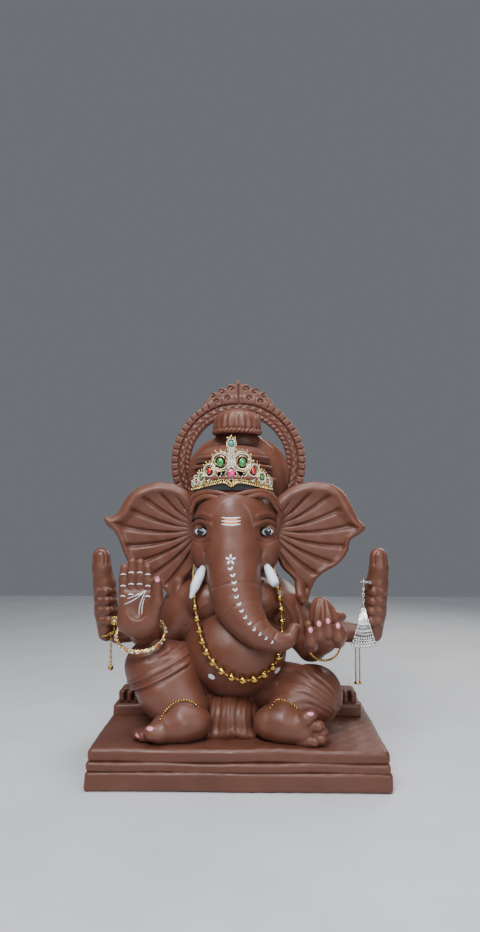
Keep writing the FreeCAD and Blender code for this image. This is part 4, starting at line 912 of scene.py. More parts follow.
# ----------------------------------------------------------------------------------------------
# Crown and halo
# ----------------------------------------------------------------------------------------------
def build_crown():
    """Stacked rounded tiers behind the tiara, the rear mass, and the small canopy on top."""
    clay = Clay((-64, -52, 276), (60, 55, 422), 0.85)
    for z, radius, thick in ((310, 50.5, 8), (322, 50, 8), (336, 46, 8), (348, 45, 7)):
        clay.ball((CROWN_X, CROWN_Y - 3, z), (radius, min(radius, 42), thick + 4), 4)
    clay.ball((CROWN_X, CROWN_Y - 2, 356), (40, 36, 13), 4)
    clay.ball((-3, 31, 328), (57, 21, 60), 6)
    clay.ball((HALO_X, 38, 336), (64, 11, 52), 5)
    clay.ball((-4, 32, 382), (24, 16, 16), 8)
    for z, radius in ((327, 50.5), (341, 46.5), (352, 43)):
        clay.hoop((CROWN_X, CROWN_Y - 3, z), radius, 2.3, 1.2, facing=2)

    def canopy(x, y, z):
        climb = np.clip((z - 388) / 28, 0, 1)
        radius = 29.5 - 3 * climb - 24 * climb ** 6
        turn = np.arctan2(y - 16, x + 4)
        flat = np.sqrt((x + 4) ** 2 + ((y - 16) * 1.08) ** 2) - radius - 0.9 * np.cos(20 * turn) * (1 - climb)
        return smooth_high(flat, np.abs(z - 401) - 14, 6)
    clay.put(canopy, (-36, -14, 378), (30, 46, 418), 2)
    clay.hoop((-4, 18, 386.5), 25.5, 2.6, 1.0, facing=2)
    clay.unevenness(0.2, 26)
    piece = clay.mesh("clay_crown")
    finish_piece(piece, CLAY,
                 replaces=["crown_base_band", "crown_middle_tier", "crown_dome", "crown_rear_mass",
                           "crown_canopy"])
    rope = Bits()
    for strand in range(2):
        points = []
        for step in range(240):
            turn = 2 * math.pi * step / 240
            twist = 17 * turn + strand * math.pi
            radius = 27.4 + 1.5 * math.cos(twist)
            points.append((-4 + radius * math.cos(turn), 18 + radius * 0.94 * math.sin(turn),
                           386.3 + 1.5 * math.sin(twist)))
        rope.tube(points, 2.2, 8, closed=True)
    rope.make("canopy_rope", [CLAY], "terracotta", "idol", ["canopy_rope_rim"])


def build_halo():
    """Flat ring behind the crown: nicked outer border, roped inner border and a relief crest."""
    clay = Clay((HALO_LOW[0] - 3, 32, HALO_LOW[2] - 3), (HALO_HIGH[0] + 3, 53, HALO_HIGH[2] + 24), 0.7)
    inner = HALO_HOLE - 3
    width = HALO_R - inner
    middle = (HALO_R + inner) / 2

    def ring(x, y, z):
        radius = np.sqrt((x - HALO_X) ** 2 + (z - HALO_Z) ** 2)
        turn = np.arctan2(z - HALO_Z, x - HALO_X)
        nick = swell(np.sin(29 * turn), 0.30) * np.clip((radius - HALO_R + 9) / 2, 0, 1)
        step = 1.7 * (1 / (1 + np.exp(-(radius - HALO_R + 9) * 1.6)))
        groove = 1.5 * swell(radius - HALO_R + 10, 1.1) + 1.3 * swell(radius - inner - 6.5, 1.0)
        rope = 1.2 * swell(radius - inner - 3, 2.6) * (1 + 0.8 * np.sin(64 * turn + 0.5 * (radius - inner)))
        worm = 0.8 * swell(radius - middle + 1, 2.8) * np.sin(46 * turn) * np.cos(0.9 * (radius - middle))
        half = 5.6 + step - groove + rope + worm - 1.7 * nick
        edge = np.abs(radius - middle) - width / 2 + 0.9 * nick
        return smooth_high(edge, np.abs(y - HALO_Y) - half, 2.4) * 0.8
    clay.put(ring, HALO_LOW - (1, 2, 1), HALO_HIGH + (1, 0, 1))
    top = HALO_HIGH[2]
    outline = [(HALO_X + side * x, top + z) for side, corners in (
        (-1, ((46, -14), (42, -4), (37, -1), (34, 6), (27, 5), (24, 11), (16, 10), (12, 16), (5, 15))),
        (1, ((0, 22), (5, 15), (12, 16), (16, 10), (24, 11), (27, 5), (34, 6), (37, -1), (42, -4),
             (46, -14))))
        for x, z in corners]
    outline += [(HALO_X + 20, top - 10), (HALO_X - 20, top - 10)]

    def crest(x, y, z):
        edge = inside_outline(x, z, np.array(outline, float))
        return smooth_high(edge, np.abs(y - HALO_Y + 1) - 5.4, 2.0)
    clay.put(crest, (HALO_X - 48, 34, top - 16), (HALO_X + 48, 52, top + 23), 2.0)
    for side in (-1, 1):
        for x, z, size in ((33, 0, 5.0), (21, 5, 5.0), (9, 9, 4.4), (27, -7, 3.6), (13, -3, 3.8)):
            curl = [(HALO_X + side * (x + size * (1 - 0.16 * k) * math.cos(0.9 * k)),
                     top + z + size * (1 - 0.16 * k) * math.sin(0.9 * k)) for k in range(6)]
            clay.engrave(curl, 1.7, 0.95, high_y=HALO_Y - 1)
    clay.engrave([(HALO_X, top + 14), (HALO_X, top - 8)], 1.5, 1.0, high_y=HALO_Y - 1)
    clay.unevenness(0.2, 24)
    finish_piece(clay.mesh("clay_halo"), CLAY, replaces=["halo_ring", "halo_crest"])


# ----------------------------------------------------------------------------------------------
# Marks painted on the clay, thrown onto it from the front
# ----------------------------------------------------------------------------------------------
def clay_surface(*names):
    """Search tree over several finished clay pieces."""
    points, faces = [], []
    for name in names:
        mesh = bpy.data.objects[name].data
        shift = len(points)
        points.extend(vertex.co.copy() for vertex in mesh.vertices)
        faces.extend([index + shift for index in polygon.vertices] for polygon in mesh.polygons)
    return BVHTree.FromPolygons(points, faces)


def front_of(surface, x, z, otherwise=None, start=-140):
    """Y, in millimetres, where a line from the viewer's side first meets the clay."""
    hit = surface.ray_cast(Vector((x * MM, start * MM, z * MM)), Vector((0, 1, 0)))[0]
    return otherwise if hit is None else hit[1] / MM


def paint_blob(bits, surface, outline, lift=0.2, material=0, rings=5):
    """Filled, slightly domed patch of paint whose edge is tucked into the clay."""
    outline = np.array(outline, float)
    middle = outline.mean(axis=0)
    depth = front_of(surface, *middle)
    if depth is None:
        return
    vertices = [(middle[0], depth - lift, middle[1])]
    for ring in range(1, rings + 1):
        for point in middle + (outline - middle) * ring / rings:
            y = front_of(surface, point[0], point[1], depth)
            vertices.append((point[0], y - (lift if ring < rings else -0.15), point[1]))
    count, faces = len(outline), []
    for k in range(count):
        j = (k + 1) % count
        faces.append((0, 1 + k, 1 + j))
        for ring in range(rings - 1):
            near, far = 1 + ring * count, 1 + (ring + 1) * count
            faces.append((near + k, far + k, far + j, near + j))
    bits.add(vertices, faces, material)


def paint_stroke(bits, surface, line, width, lift=0.2, material=0, steps=6):
    """Brush stroke along a line of (x, z), thinner at its ends."""
    line = smooth_line(line, steps)
    run = np.gradient(line, axis=0)
    run /= np.maximum(np.linalg.norm(run, axis=1), 1e-9)[:, None]
    across = np.stack([-run[:, 1], run[:, 0]], axis=1)
    share = np.linspace(0, 1, len(line))
    half = 0.5 * width * np.sqrt(np.clip(np.sin(math.pi * (0.06 + 0.88 * share)), 0.03, 1))
    columns = (-1, -0.55, 0, 0.55, 1)
    vertices, depth = [], front_of(surface, *line[len(line) // 2], otherwise=-60)
    for i, point in enumerate(line):
        for column in columns:
            x, z = point + across[i] * half[i] * column
            y = front_of(surface, x, z, depth)
            vertices.append((x, y - (lift if abs(column) < 1 else -0.12), z))
    faces = []
    for i in range(len(line) - 1):
        for k in range(len(columns) - 1):
            faces.append((i * 5 + k, i * 5 + k + 1, i * 5 + k + 6, i * 5 + k + 5))
    bits.add(vertices, faces, material)


def round_outline(x, z, across, tall, lean=0.0, points=18, pointed=0.0):
    """Oval; pointed draws both ends out like an almond."""
    turn = np.arange(points) * 2 * math.pi / points
    u = across * np.cos(turn)
    w = tall * np.sin(turn) * (1 - pointed * np.abs(np.cos(turn)) ** 2)
    cos, sin = math.cos(lean), math.sin(lean)
    return np.stack([x + cos * u - sin * w, z + sin * u + cos * w], axis=1)


def paint_eyes():
    """White almond in a black line, grey iris, black pupil and a small glint."""
    head = clay_surface("clay_head")
    for side, x, _, z in EYES:
        out = -1 if side == "right" else 1
        bits = Bits()
        for material, shift, across, tall, pointed, lift in (
                (0, 0.0, 9.6, 6.0, 0.42, 0.20), (1, 0.0, 8.3, 4.7, 0.42, 0.35), (0, -0.5, 5.0, 4.7, 0, 0.45),
                (2, -0.5, 4.2, 4.1, 0, 0.55), (0, -0.5, 2.9, 3.0, 0, 0.65)):
            paint_blob(bits, head, round_outline(x - shift * out, z, across, tall, 0.06 * out, 24, pointed),
                       lift, material)
        for shift in (-6.6, 6.6):
            paint_blob(bits, head, round_outline(x + shift, z - 0.3, 1.3, 1.3), 0.45, 3)
        # Painted highlight: a small white glint on each eye.
        paint_blob(bits, head, round_outline(x + 1.6, z + 1.6, 0.8, 0.9), 0.8, 1)
        bits.make(f"{side}_eye_painted", [BLACK, WHITE, IRIS, CORAL], "painted_eye", "idol", [f"{side}_eye"])


def paint_face():
    """Eyebrows, the three forehead lines with an orange mark, and the petals down the trunk."""
    head = clay_surface("clay_head")
    bits = Bits()
    paint_stroke(bits, head, [(-57, 276.5), (-52, 280), (-45, 281), (-38, 278.5)], 2.2, material=0)
    paint_stroke(bits, head, [(24, 278.5), (31, 281), (38, 280), (43, 276.5)], 2.2, material=0)
    paint_blob(bits, head, round_outline(-9, 277.6, 9.5, 4.4, 0, 24), 0.15, 2)
    for z in (281.4, 277.7, 274.0):
        paint_stroke(bits, head, [(-19.6, z + 0.5), (-9, z - 0.4), (1.6, z + 0.5)], 2.0, 0.35, 1)
    for turn in np.arange(5) * 2 * math.pi / 5 + math.pi / 2:
        petal = round_outline(-8.8 + 3.6 * math.cos(turn), 236 + 3.6 * math.sin(turn), 2.7, 1.3, turn, 12)
        paint_blob(bits, head, petal, 0.25, 1)
    line = smooth_line([(-8.6, 229), (-8.3, 225), (-6.8, 221), (-5, 213), (-2.5, 199), (0.3, 190.6), (5, 180),
                        (10.7, 172), (18, 163), (26.6, 157), (35, 151.5), (43, 147.5)], 6)
    gaps = np.linalg.norm(np.diff(line, axis=0), axis=1)
    reach = np.concatenate([[0], np.cumsum(gaps)])
    for along in np.arange(4, reach[-1], 7.6):
        x = np.interp(along, reach, line[:, 0])
        z = np.interp(along, reach, line[:, 1])
        lean = math.atan2(np.interp(along + 1, reach, line[:, 1]) - z,
                          np.interp(along + 1, reach, line[:, 0]) - x)
        size = 1 - 0.45 * along / reach[-1]
        for turn in (-0.72, 0.72):
            angle = lean + turn
            petal = round_outline(x - 2.1 * size * math.cos(angle), z - 2.1 * size * math.sin(angle),
                                  2.5 * size, 1.15 * size, angle, 12)
            paint_blob(bits, head, petal, 0.25, 1)
    bits.make("face_paint", [BLACK, WHITE, ORANGE], "painted_white", "idol")


def paint_body_marks():
    """Dashes across the raised fingers, palm creases, pink nails and two white spots on the belly that are
    painted highlights.
    """
    hand = clay_surface("clay_front_right_hand")
    bits = Bits()
    palm = P["right_palm"]
    for drop in (-5, 7.5, 18.5):
        for shift in (-16.3, -7.4, 1.8, 10.8):
            middle = (palm[0] + shift, palm[2] + 33 - drop + (2 if abs(shift) < 8 else 0))
            paint_stroke(bits, hand, [(middle[0] - 3.0, middle[1] - 0.3), (middle[0], middle[1] + 0.5),
                                      (middle[0] + 3.0, middle[1] - 0.3)], 1.7, material=0)
    for line in ([(-124, 188), (-117, 191), (-109, 196), (-103, 202)],
                 [(-121, 194), (-113, 197), (-106, 200), (-101, 203)],
                 [(-108.5, 176), (-108, 185), (-105, 194), (-101, 203)],
                 [(-105.5, 177), (-105, 186), (-102.5, 195)]):
        paint_stroke(bits, hand, line, 1.2, material=0)
    body = clay_surface("clay_body")
    # Painted highlights: two small white spots on the belly.
    for x, z, lean in ((-30, 108, -0.5), (43, 111, 0.9)):
        paint_blob(bits, body, round_outline(x, z, 4.3, 3.0, lean), 0.3, 0)
    left = clay_surface("clay_front_left_hand")
    for surface, side in ((left, "left"), (hand, "right")):
        for x, z, reach in NAILS[side]:
            paint_blob(bits, surface, round_outline(x, z, reach * 0.95, reach * 1.1), 0.25, 1)
    feet = clay_surface("clay_right_foot", "clay_left_foot")
    for x, z, across, tall in ((-93, 60.5, 4.2, 2.0), (-108, 49.5, 2.6, 2.0), (76, 76.5, 4.0, 1.8)):
        paint_blob(bits, feet, round_outline(x, z, across, tall), 0.25, 1)
    bits.make("body_paint", [WHITE, NAIL], "painted_white", "idol")


def build_hair():
    """Rolled curls of hair at the temples, under the crown."""
    bits = Bits()
    locks = (([(-58, -20, 286), (-52, -26, 300), (-40, -35, 306), (-27, -41, 305), (-17, -46, 300)], 3.6),
             ([(-60, -16, 290), (-55, -24, 305), (-42, -34, 311), (-26, -42, 311), (-9, -47, 306)], 3.2),
             ([(-1, -46, 300), (9, -42, 305), (23, -37, 308), (36, -28, 303), (46, -19, 288)], 3.6),
             ([(-9, -47, 306), (10, -43, 311), (26, -35, 312), (39, -26, 306), (49, -16, 291)], 3.2))
    for line, wide in locks:
        route = smooth_line(line, 8)
        share = np.linspace(0, 1, len(route))
        bits.tube(route, wide * (0.45 + 0.55 * np.sqrt(np.sin(math.pi * np.clip(share, 0.02, 0.98)))), 12)
    bits.make("temple_hair", [CLAY], "terracotta", "idol", ["temple_curls"])


# ----------------------------------------------------------------------------------------------
# Tiara
# ----------------------------------------------------------------------------------------------
def on_tiara(angle, z, out=0.0):
    """Point on the tiara's shell: angle in degrees from the front, height, distance outwards."""
    turn = math.radians(angle)
    reach = TIARA_R + out
    return (CROWN_X + reach * math.sin(turn), CROWN_Y - reach * math.cos(turn), z)


def gem(bits, centre, outward, across, deep, material, tall=None, sides=10):
    """Cut stone: girdle, sloped crown and flat table, pointed back."""
    outward = np.array(outward, float)
    outward /= np.linalg.norm(outward)
    side = np.cross(outward, (0, 0, 1))
    side /= np.linalg.norm(side)
    up = np.cross(side, outward)
    tall = across if tall is None else tall
    vertices = []
    for reach, lift in ((1.0, 0.0), (0.94, 0.35), (0.58, 1.0)):
        for k in range(sides):
            turn = 2 * math.pi * (k + 0.5 * (reach == 0.94)) / sides
            flat = across * math.cos(turn) * side + tall * math.sin(turn) * up
            vertices.append(np.array(centre) + reach * flat + lift * deep * outward)
    faces = [tuple(range(2 * sides, 3 * sides)), tuple(range(sides))[::-1]]
    for ring in range(2):
        for k in range(sides):
            j = (k + 1) % sides
            low, high = ring * sides, (ring + 1) * sides
            faces.append((low + k, low + j, high + j, high + k))
    bits.add(vertices, faces, material)


# Round lace motifs each side of the middle: bearing in degrees, height above the rail, radius.
LACE = ((13.5, 24, 11.2), (28, 16.5, 8.6), (40, 11.5, 6.3), (49.5, 8.5, 4.6), (56.5, 6, 3.3))
TIARA_END = 60


def rail_height(angle):
    """The tiara's lower edge, which rises towards its middle and dips under the centre stone."""
    return TIARA_Z + 2.0 + 7.5 * math.cos(math.radians(1.5 * angle)) ** 2 - 5.0 * math.exp(-(angle / 5) ** 2)


def beside(angle, away):
    """Bearing of a point that far along the tiara's shell from an angle."""
    return angle + math.degrees(away / TIARA_R)


def lace_ring(bits, angle, height, across, tall, radius, out=0.2):
    """Closed wire loop on the tiara's shell."""
    turn = np.arange(28) * math.pi / 14
    bits.tube([on_tiara(beside(angle, across * math.cos(t)), height + tall * math.sin(t), out) for t in turn],
              radius, 7, closed=True)


def outwards(angle):
    return np.array(on_tiara(angle, 0, 1)) - np.array(on_tiara(angle, 0, 0))


def build_tiara():
    """Openwork tiara: beaded rail, round lace motifs and a stone-set column rising to the peak."""
    metal, stones = Bits(), Bits()
    angles = np.linspace(-TIARA_END, TIARA_END, 81)
    metal.tube([on_tiara(angle, rail_height(angle)) for angle in angles], 1.1, 8)
    metal.tube([on_tiara(angle, rail_height(angle) + 3.4, 0.1) for angle in angles], 0.6, 7)
    for angle in np.arange(-TIARA_END, TIARA_END + 1, 2.5):
        metal.ball(on_tiara(angle, rail_height(angle) - 0.5, 1.0), 1.15, 0, 6, 8)
        metal.tube([on_tiara(angle, rail_height(angle)), on_tiara(angle + 1.2, rail_height(angle) + 3.4)],
                   0.5, 6)
    for side in (-1, 1):
        for number, (bearing, rise, size) in enumerate(LACE):
            angle = side * bearing
            height = rail_height(angle) + rise
            outward = outwards(angle)
            lace_ring(metal, angle, height, size, size, 0.8)
            lace_ring(metal, angle, height - 0.1 * size, 0.62 * size, 0.66 * size, 0.6, 0.5)
            for k in range(int(3.2 * size)):
                turn = 2 * math.pi * k / int(3.2 * size)
                stones.ball(on_tiara(beside(angle, 0.82 * size * math.cos(turn)),
                                     height + 0.82 * size * math.sin(turn), 0.7), 0.78, 0, 5, 7)
            gem(stones, on_tiara(angle, height - 0.1 * size, 0.8), outward, 0.36 * size, 1.1,
                1 + (number + 1) % 2, 0.46 * size)
            for lean in (-0.9, -0.45, 0, 0.45, 0.9):
                spike = [on_tiara(beside(angle, far * math.sin(lean)), height + far * math.cos(lean), 0.2)
                         for far in (size, size + 2.2)]
                metal.ball(spike[1], 1.0, 0, 5, 7)
                metal.tube(spike, 0.5, 6)
            for inward in (-1, 1):
                curl = [(0, rise * -1 + 3), (0.85 * size, -0.75 * size - 1), (1.2 * size, -0.15 * size),
                        (0.8 * size, 0.3 * size), (0.55 * size, -0.1 * size), (0.9 * size, -0.35 * size)]
                metal.tube([on_tiara(a, z, 0.1) for a, z in smooth_line(
                    [(angle + inward * math.degrees(u / TIARA_R), height + w) for u, w in curl], 5)], 0.7, 7)
            for k in range(3):
                drop = rail_height(angle) + 4.2 + (rise - size - 4) * k / 3
                if drop < height - size:
                    stones.ball(on_tiara(angle + (k - 1) * 1.6, drop, 0.5), 0.9, 0, 5, 7)
    foot, peak = rail_height(0) + 2, TIARA_HIGH[2] + 3
    pink_height, teal_height = foot + 12.5, peak - 8
    for scale, radius in ((1.0, 0.9), (0.62, 0.7)):
        shape = [(0, 0), (4.2, 5), (3.2, 14), (4.8, 24), (3.4, 33), (5.6, peak - foot - 9),
                 (3.4, peak - foot - 3), (0, peak - foot)]
        line = [(math.degrees(u * scale / TIARA_R), foot + w) for u, w in shape]
        line += [(-a, z) for a, z in reversed(line[1:-1])] + [line[0]]
        metal.tube([on_tiara(a, z, 0.3) for a, z in smooth_line(line, 5)], radius, 8)
    for step in np.arange(20.5, peak - foot - 13, 2.3):
        for shift in (-2.1, 0, 2.1):
            gem(stones, on_tiara(beside(0, shift), foot + step, 0.9 - 0.2 * abs(shift)), (0, -1, 0),
                1.05, 0.8, 0, sides=6)
    for k in range(14):
        turn = 2 * math.pi * k / 14
        stones.ball(on_tiara(beside(0, 6.3 * math.cos(turn)), pink_height + 6.8 * math.sin(turn), 0.8),
                    0.9, 0, 5, 7)
        stones.ball(on_tiara(beside(0, 4.6 * math.cos(turn)), teal_height + 5.0 * math.sin(turn), 0.8),
                    0.75, 0, 5, 7)
    for lean in (-0.8, 0, 0.8):
        metal.ball(on_tiara(beside(0, 6 * math.sin(lean)), peak - 6 + 6.5 * math.cos(lean), 0.2), 1.3, 0)
    metal.make("tiara_openwork", [GLITTER], "gold", "tiara", ["tiara_frame"])
    stones.make("tiara_rhinestones", [CLEAR_STONE, RED_STONE, GREEN_STONE], "mixed_stones", "tiara",
                ["tiara_small_stones"])
    for node, material, slot, height, size in (
            ("tiara_centre_stone", PINK_STONE, "pink_stone", pink_height, 5.0),
            ("tiara_peak_stone", TEAL_STONE, "teal_stone", teal_height, 3.4)):
        bits = Bits()
        gem(bits, on_tiara(0, height, 0.6), (0, -1, 0), size * 0.92, 2.2, 0, size, 14)
        bits.make(f"{node}_cut", [material], slot, "tiara", [node])


# ----------------------------------------------------------------------------------------------
# Bangles, bracelet, pendant and anklets
# ----------------------------------------------------------------------------------------------
def around(centre, axis, radius, count, phase=0.0, lift=0.0):
    """Points on a circle about an axis, with the outward direction of each."""
    axis = np.array(axis, float)
    axis /= np.linalg.norm(axis)
    side = np.cross(axis, (1, 0, 0) if abs(axis[0]) < 0.8 else (0, 0, 1))
    side /= np.linalg.norm(side)
    up = np.cross(axis, side)
    out = []
    for k in range(count):
        turn = 2 * math.pi * (k + phase) / count
        outward = math.cos(turn) * side + math.sin(turn) * up
        out.append((np.array(centre, float) + radius * outward + lift * axis, outward))
    return out


def joint_place(name):
    joint = next(j for j in frame["joints"] if j["name"] == name)
    return np.array(joint["pos_m"], float) / MM, np.array(joint["axis"], float)


def build_bangles():
    """Jewelled bangle on the raised arm, twisted wire bangle on the other."""
    centre, axis = joint_place("right_bangle_turn")
    bits = Bits()
    bits.tube([p for p, _ in around(centre, axis, 27, 64)], 2.0, 10, closed=True)
    for lift in (-2.1, 2.1):
        bits.tube([p for p, _ in around(centre, axis, 27, 64, lift=lift)], 0.75, 8, closed=True)
        for point, _ in around(centre, axis, 27.8, 84, lift=lift):
            bits.ball(point, 0.7, 0, 5, 7)
    for number, (point, outward) in enumerate(around(centre, axis, 28.4, 30)):
        gem(bits, point, outward, 1.7, 1.1, 1 + number % 3, 1.4, 8)
    bits.make("right_bangle_jewelled", [GLITTER, CLEAR_STONE, RED_STONE, CLEAR_STONE], "gold", "right_bangle",
              ["front_right_bangle"])
    centre, axis = joint_place("left_bangle_turn")
    bits = Bits()
    for strand in range(2):
        points = []
        circle = around(centre, axis, 20, 180)
        unit = axis / np.linalg.norm(axis)
        for k, (point, outward) in enumerate(circle):
            twist = 2 * math.pi * 22 * k / 180 + strand * math.pi
            points.append(point + 0.72 * (math.cos(twist) * outward + math.sin(twist) * unit))
        bits.tube(points, 0.8, 7, closed=True)
    bits.make("left_bangle_twisted", [GOLD], "gold", "left_bangle", ["front_left_bangle"])


def flower(bits, centre, radius, petals=8, stone=1):
    """Rosette facing the viewer: ring of petals round a stone."""
    x, y, z = centre
    for k in range(petals):
        turn = 2 * math.pi * k / petals
        bits.ball((x + 0.62 * radius * math.cos(turn), y - 0.3, z + 0.62 * radius * math.sin(turn)),
                  (0.34 * radius, 0.9, 0.34 * radius), 0, 6, 9)
    circle = [(x + radius * math.cos(t), y, z + radius * math.sin(t)) for t in np.arange(28) * math.pi / 14]
    bits.tube(circle, 0.5, 6, closed=True)
    gem(bits, (x, y - 0.8, z), (0, -1, 0), 0.34 * radius, 1.0, stone, sides=8)


def build_bracelet():
    """Bead bracelet, its rosette, and the drop hanging from it."""
    centre, axis = joint_place("bracelet_turn")
    eye, _ = joint_place("drop_swing")
    ring_radius, half_gap = 18.5, 3.5
    bits = Bits()
    bits.tube([p for p, _ in around(centre, axis, ring_radius, 60)], 0.7, 6, closed=True)
    for number, (point, _) in enumerate(around(centre, axis, ring_radius, 36)):
        bits.ball(point, 1.68 if number % 3 else 1.4, 0, 8, 10)
    front = np.array([eye[0], centre[1] - 0.965 * ring_radius, eye[2]])
    reach = np.array([half_gap, 0, 0])
    bits.tube([eye - reach, eye + reach], 0.95, 8)
    for side in (-1, 1):
        bits.tube([front + side * reach, eye + side * reach], 1.0, 8)
    rosette = eye + np.array([half_gap, 1.4, 15])
    bits.tube([eye + reach, rosette], 0.95, 8)
    flower(bits, rosette, 5)
    bits.make("bracelet_beads", [GOLD, CLEAR_STONE], "gold", "wrist_bracelet", ["rear_right_bracelet"])
    low, high = box_mm("right_wrist_drop")
    bits = Bits()
    bits.tube([p for p, _ in around(eye, (1, 0, 0), 2.6, 20)], 0.6, 7, closed=True)
    x, y = eye[0], eye[1]
    links = np.arange(high[2] - 6.5, low[2] + 8, -3.4)
    for number, z in enumerate(links):
        turn = np.arange(14) * math.pi / 7
        flat = [(x + (1.15 * math.cos(t) if number % 2 else 0), y + (0 if number % 2 else 1.15 * math.cos(t)),
                 z + 2.1 * math.sin(t)) for t in turn]
        bits.tube(flat, 0.42, 6, closed=True)
    bits.tube([(x, y, high[2] - 5), (x, y, low[2] + 5)], 0.35, 6)
    bits.ball((x, y, low[2] + 3.3), 3.2, 0, 12, 16)
    bits.ball((x, y, low[2] + 7.2), 1.5, 0, 8, 10)
    bits.make("wrist_drop_chain", [GOLD], "gold", "wrist_drop", ["right_wrist_drop"])


def build_pendant():
    """Fan pendant of pierced silver-tone metal, its chain, and the strands below it."""
    hang, _ = joint_place("pendant_swing")
    low, high = box_mm("left_pendant_fan")
    fan_top = hang[2] - 30
    x, y = hang[0], hang[1]
    bits = Bits()
    bits.tube([p for p, _ in around(hang, (1, 0, 0), high[2] - hang[2] - 0.5, 22)], 0.6, 7, closed=True)
    for number, z in enumerate(np.arange(hang[2] - 4.5, fan_top - 1, -3.3)):
        turn = np.arange(14) * math.pi / 7
        bits.tube([(x + (1.3 * math.cos(t) if number % 2 else 0),
                    y + (0 if number % 2 else 1.3 * math.cos(t)),
                    z + 2.1 * math.sin(t)) for t in turn], 0.45, 6, closed=True)
    bits.tube([(x, y, hang[2] - 3.5), (x, y, fan_top)], 0.3, 6)
    height, half = fan_top - low[2] - 2, (high[0] - low[0]) / 2 - 1
    spread = math.atan2(half, height)
    ribs = 9
    for k in range(ribs):
        lean = spread * (2 * k / (ribs - 1) - 1)
        end = (x + height * math.sin(lean) / math.cos(lean * 0.3), y,
               fan_top - height * math.cos(lean) * 0.97)
        bits.tube([(x + 2.2 * math.sin(lean * 2), y, fan_top), end], [0.9, 0.65], 7)
        bits.ball((end[0], y, end[2]), 1.5, 0, 7, 9)
        for share in (0.42, 0.6, 0.78, 0.9):
            bits.ball((x + (end[0] - x) * share, y - 0.6, fan_top + (end[2] - fan_top) * share), 1.1, 1, 6, 8)
    for share in (0.3, 0.5, 0.68, 0.84, 0.98):
        arc = []
        for lean in np.linspace(-spread, spread, 15):
            arc.append((x + share * height * math.tan(lean), y,
                        fan_top - share * height * math.cos(lean) * 0.97))
        bits.tube(arc, 0.6, 6)
    for side in (-1, 1):
        bits.tube([(x + side * 1.5, y, fan_top + 0.5), (x + side * half, y, fan_top - height * 0.95)], 0.8, 7)
    bits.make("pendant_fan_pierced", [SILVER, CLEAR_STONE], "silver", "fan_pendant", ["left_pendant_fan"])
    low, high = box_mm("left_pendant_strands")
    bits = Bits()
    middle = (low[0] + high[0]) / 2
    for side in (-1, 1):
        for z in np.arange(low[2] + 3.5, high[2] + 0.5, 2.5):
            bits.ball((middle + side * 2.2, y, z), 1.15, 0, 6, 8)
        bits.tube([(middle + side * 2.2, y, low[2] + 2), (middle + side * 2.2, y, high[2] + 2)], 0.4, 6)
    bits.tube([(middle - 4.2, y, low[2] + 1.4), (middle + 4.2, y, low[2] + 1.4)], 1.3, 10)
    bits.make("pendant_strand_beads", [GOLD], "gold", "fan_pendant", ["left_pendant_strands"])


def chain_on_clay(bits, surface, line, radius, spacing):
    """Row of beads resting on the clay along a line seen from the front."""
    line = smooth_line(line, 12)
    reach = np.concatenate([[0], np.cumsum(np.linalg.norm(np.diff(line, axis=0), axis=1))])
    depth = -80
    for along in np.arange(0, reach[-1], spacing):
        x, z = np.interp(along, reach, line[:, 0]), np.interp(along, reach, line[:, 1])
        depth = front_of(surface, x, z, depth)
        bits.ball((x, depth - radius * 0.6, z), radius, 0, 6, 9)


def build_anklets():
    for side, line in (("right", [(-83, 68), (-78, 76), (-70, 83), (-60, 86), (-50, 84), (-42, 78)]),
                       ("left", [(34, 79), (41, 84), (50, 85), (59, 81), (64, 76)])):
        surface = clay_surface(f"clay_{side}_leg", f"clay_{side}_foot")
        bits = Bits()
        chain_on_clay(bits, surface, line, 1.5, 2.9)
        bits.make(f"{side}_anklet_beads", [GOLD], "gold", "idol", [f"{side}_anklet"])


# ----------------------------------------------------------------------------------------------
# Necklace
# ----------------------------------------------------------------------------------------------
# Control points of the cord, the same as in the CAD route. They were set by hand around bead places
# that a scratch program had projected from the photo onto the belly.
CORD_ROUTE = [(-52, -3.5, 238), (-53, -22, 230), (-53, -40, 215), (-51, -50.5, 196), (-48, -54.5, 175),
              (-43, -61.5, 155), (-36, -73, 137), (-24, -77.5, 121), (-8, -76.3, 110), (10, -70.8, 105),
              (28, -63, 109.5), (41.5, -53, 121), (48, -49, 138), (48, -47, 158), (47.5, -46.2, 178),
              (44.5, -42.5, 198), (40.5, -35, 216), (39.5, -21, 231), (39, -3.5, 239)]
FIRST_BEAD, BEADS, PITCH = 66, 21, 13


def curve_line(route):
    """NURBS curve through the route's control points, in metres, and the line it follows in millimetres."""
    curve = bpy.data.curves.new("necklace_cord", "CURVE")
    curve.dimensions = "3D"
    curve.resolution_u = 8
    spline = curve.splines.new("NURBS")
    spline.points.add(len(route) - 1)
    for point, place in zip(spline.points, route):
        point.co = (*(value * MM for value in place), 1)
    spline.order_u = 3
    spline.use_endpoint_u = True
    cord = bpy.data.objects.new("necklace_cord_curve", curve)
    bpy.context.scene.collection.objects.link(cord)
    bpy.context.view_layer.update()
    mesh = bpy.data.meshes.new_from_object(cord)
    line = np.array([vertex.co[:] for vertex in mesh.vertices]) / MM
    bpy.data.meshes.remove(mesh)
    return cord, line


def build_necklace():
    """Cord whose ends go into the clay under the ears, and round beads along its lower stretch."""
    cord, line = curve_line(CORD_ROUTE)
    cord.data.bevel_depth = 0.8 * MM
    cord.data.bevel_resolution = 3
    cord.data.use_fill_caps = True
    cord.data.materials.append(THREAD)
    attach(cord, "idol")
    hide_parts("necklace_cord")
    reach = np.concatenate([[0], np.cumsum(np.linalg.norm(np.diff(line, axis=0), axis=1))])
    bits = Bits()
    for number in range(BEADS):
        along = FIRST_BEAD + PITCH * number
        centre = [np.interp(along, reach, line[:, axis]) for axis in range(3)]
        bits.ball(centre, 3.9 + 1.1 * math.sin(math.pi * number / (BEADS - 1)), 0, 14, 20)
    beads = bits.make("necklace_round_beads", [GOLD], "gold", "idol", ["necklace_beads"])


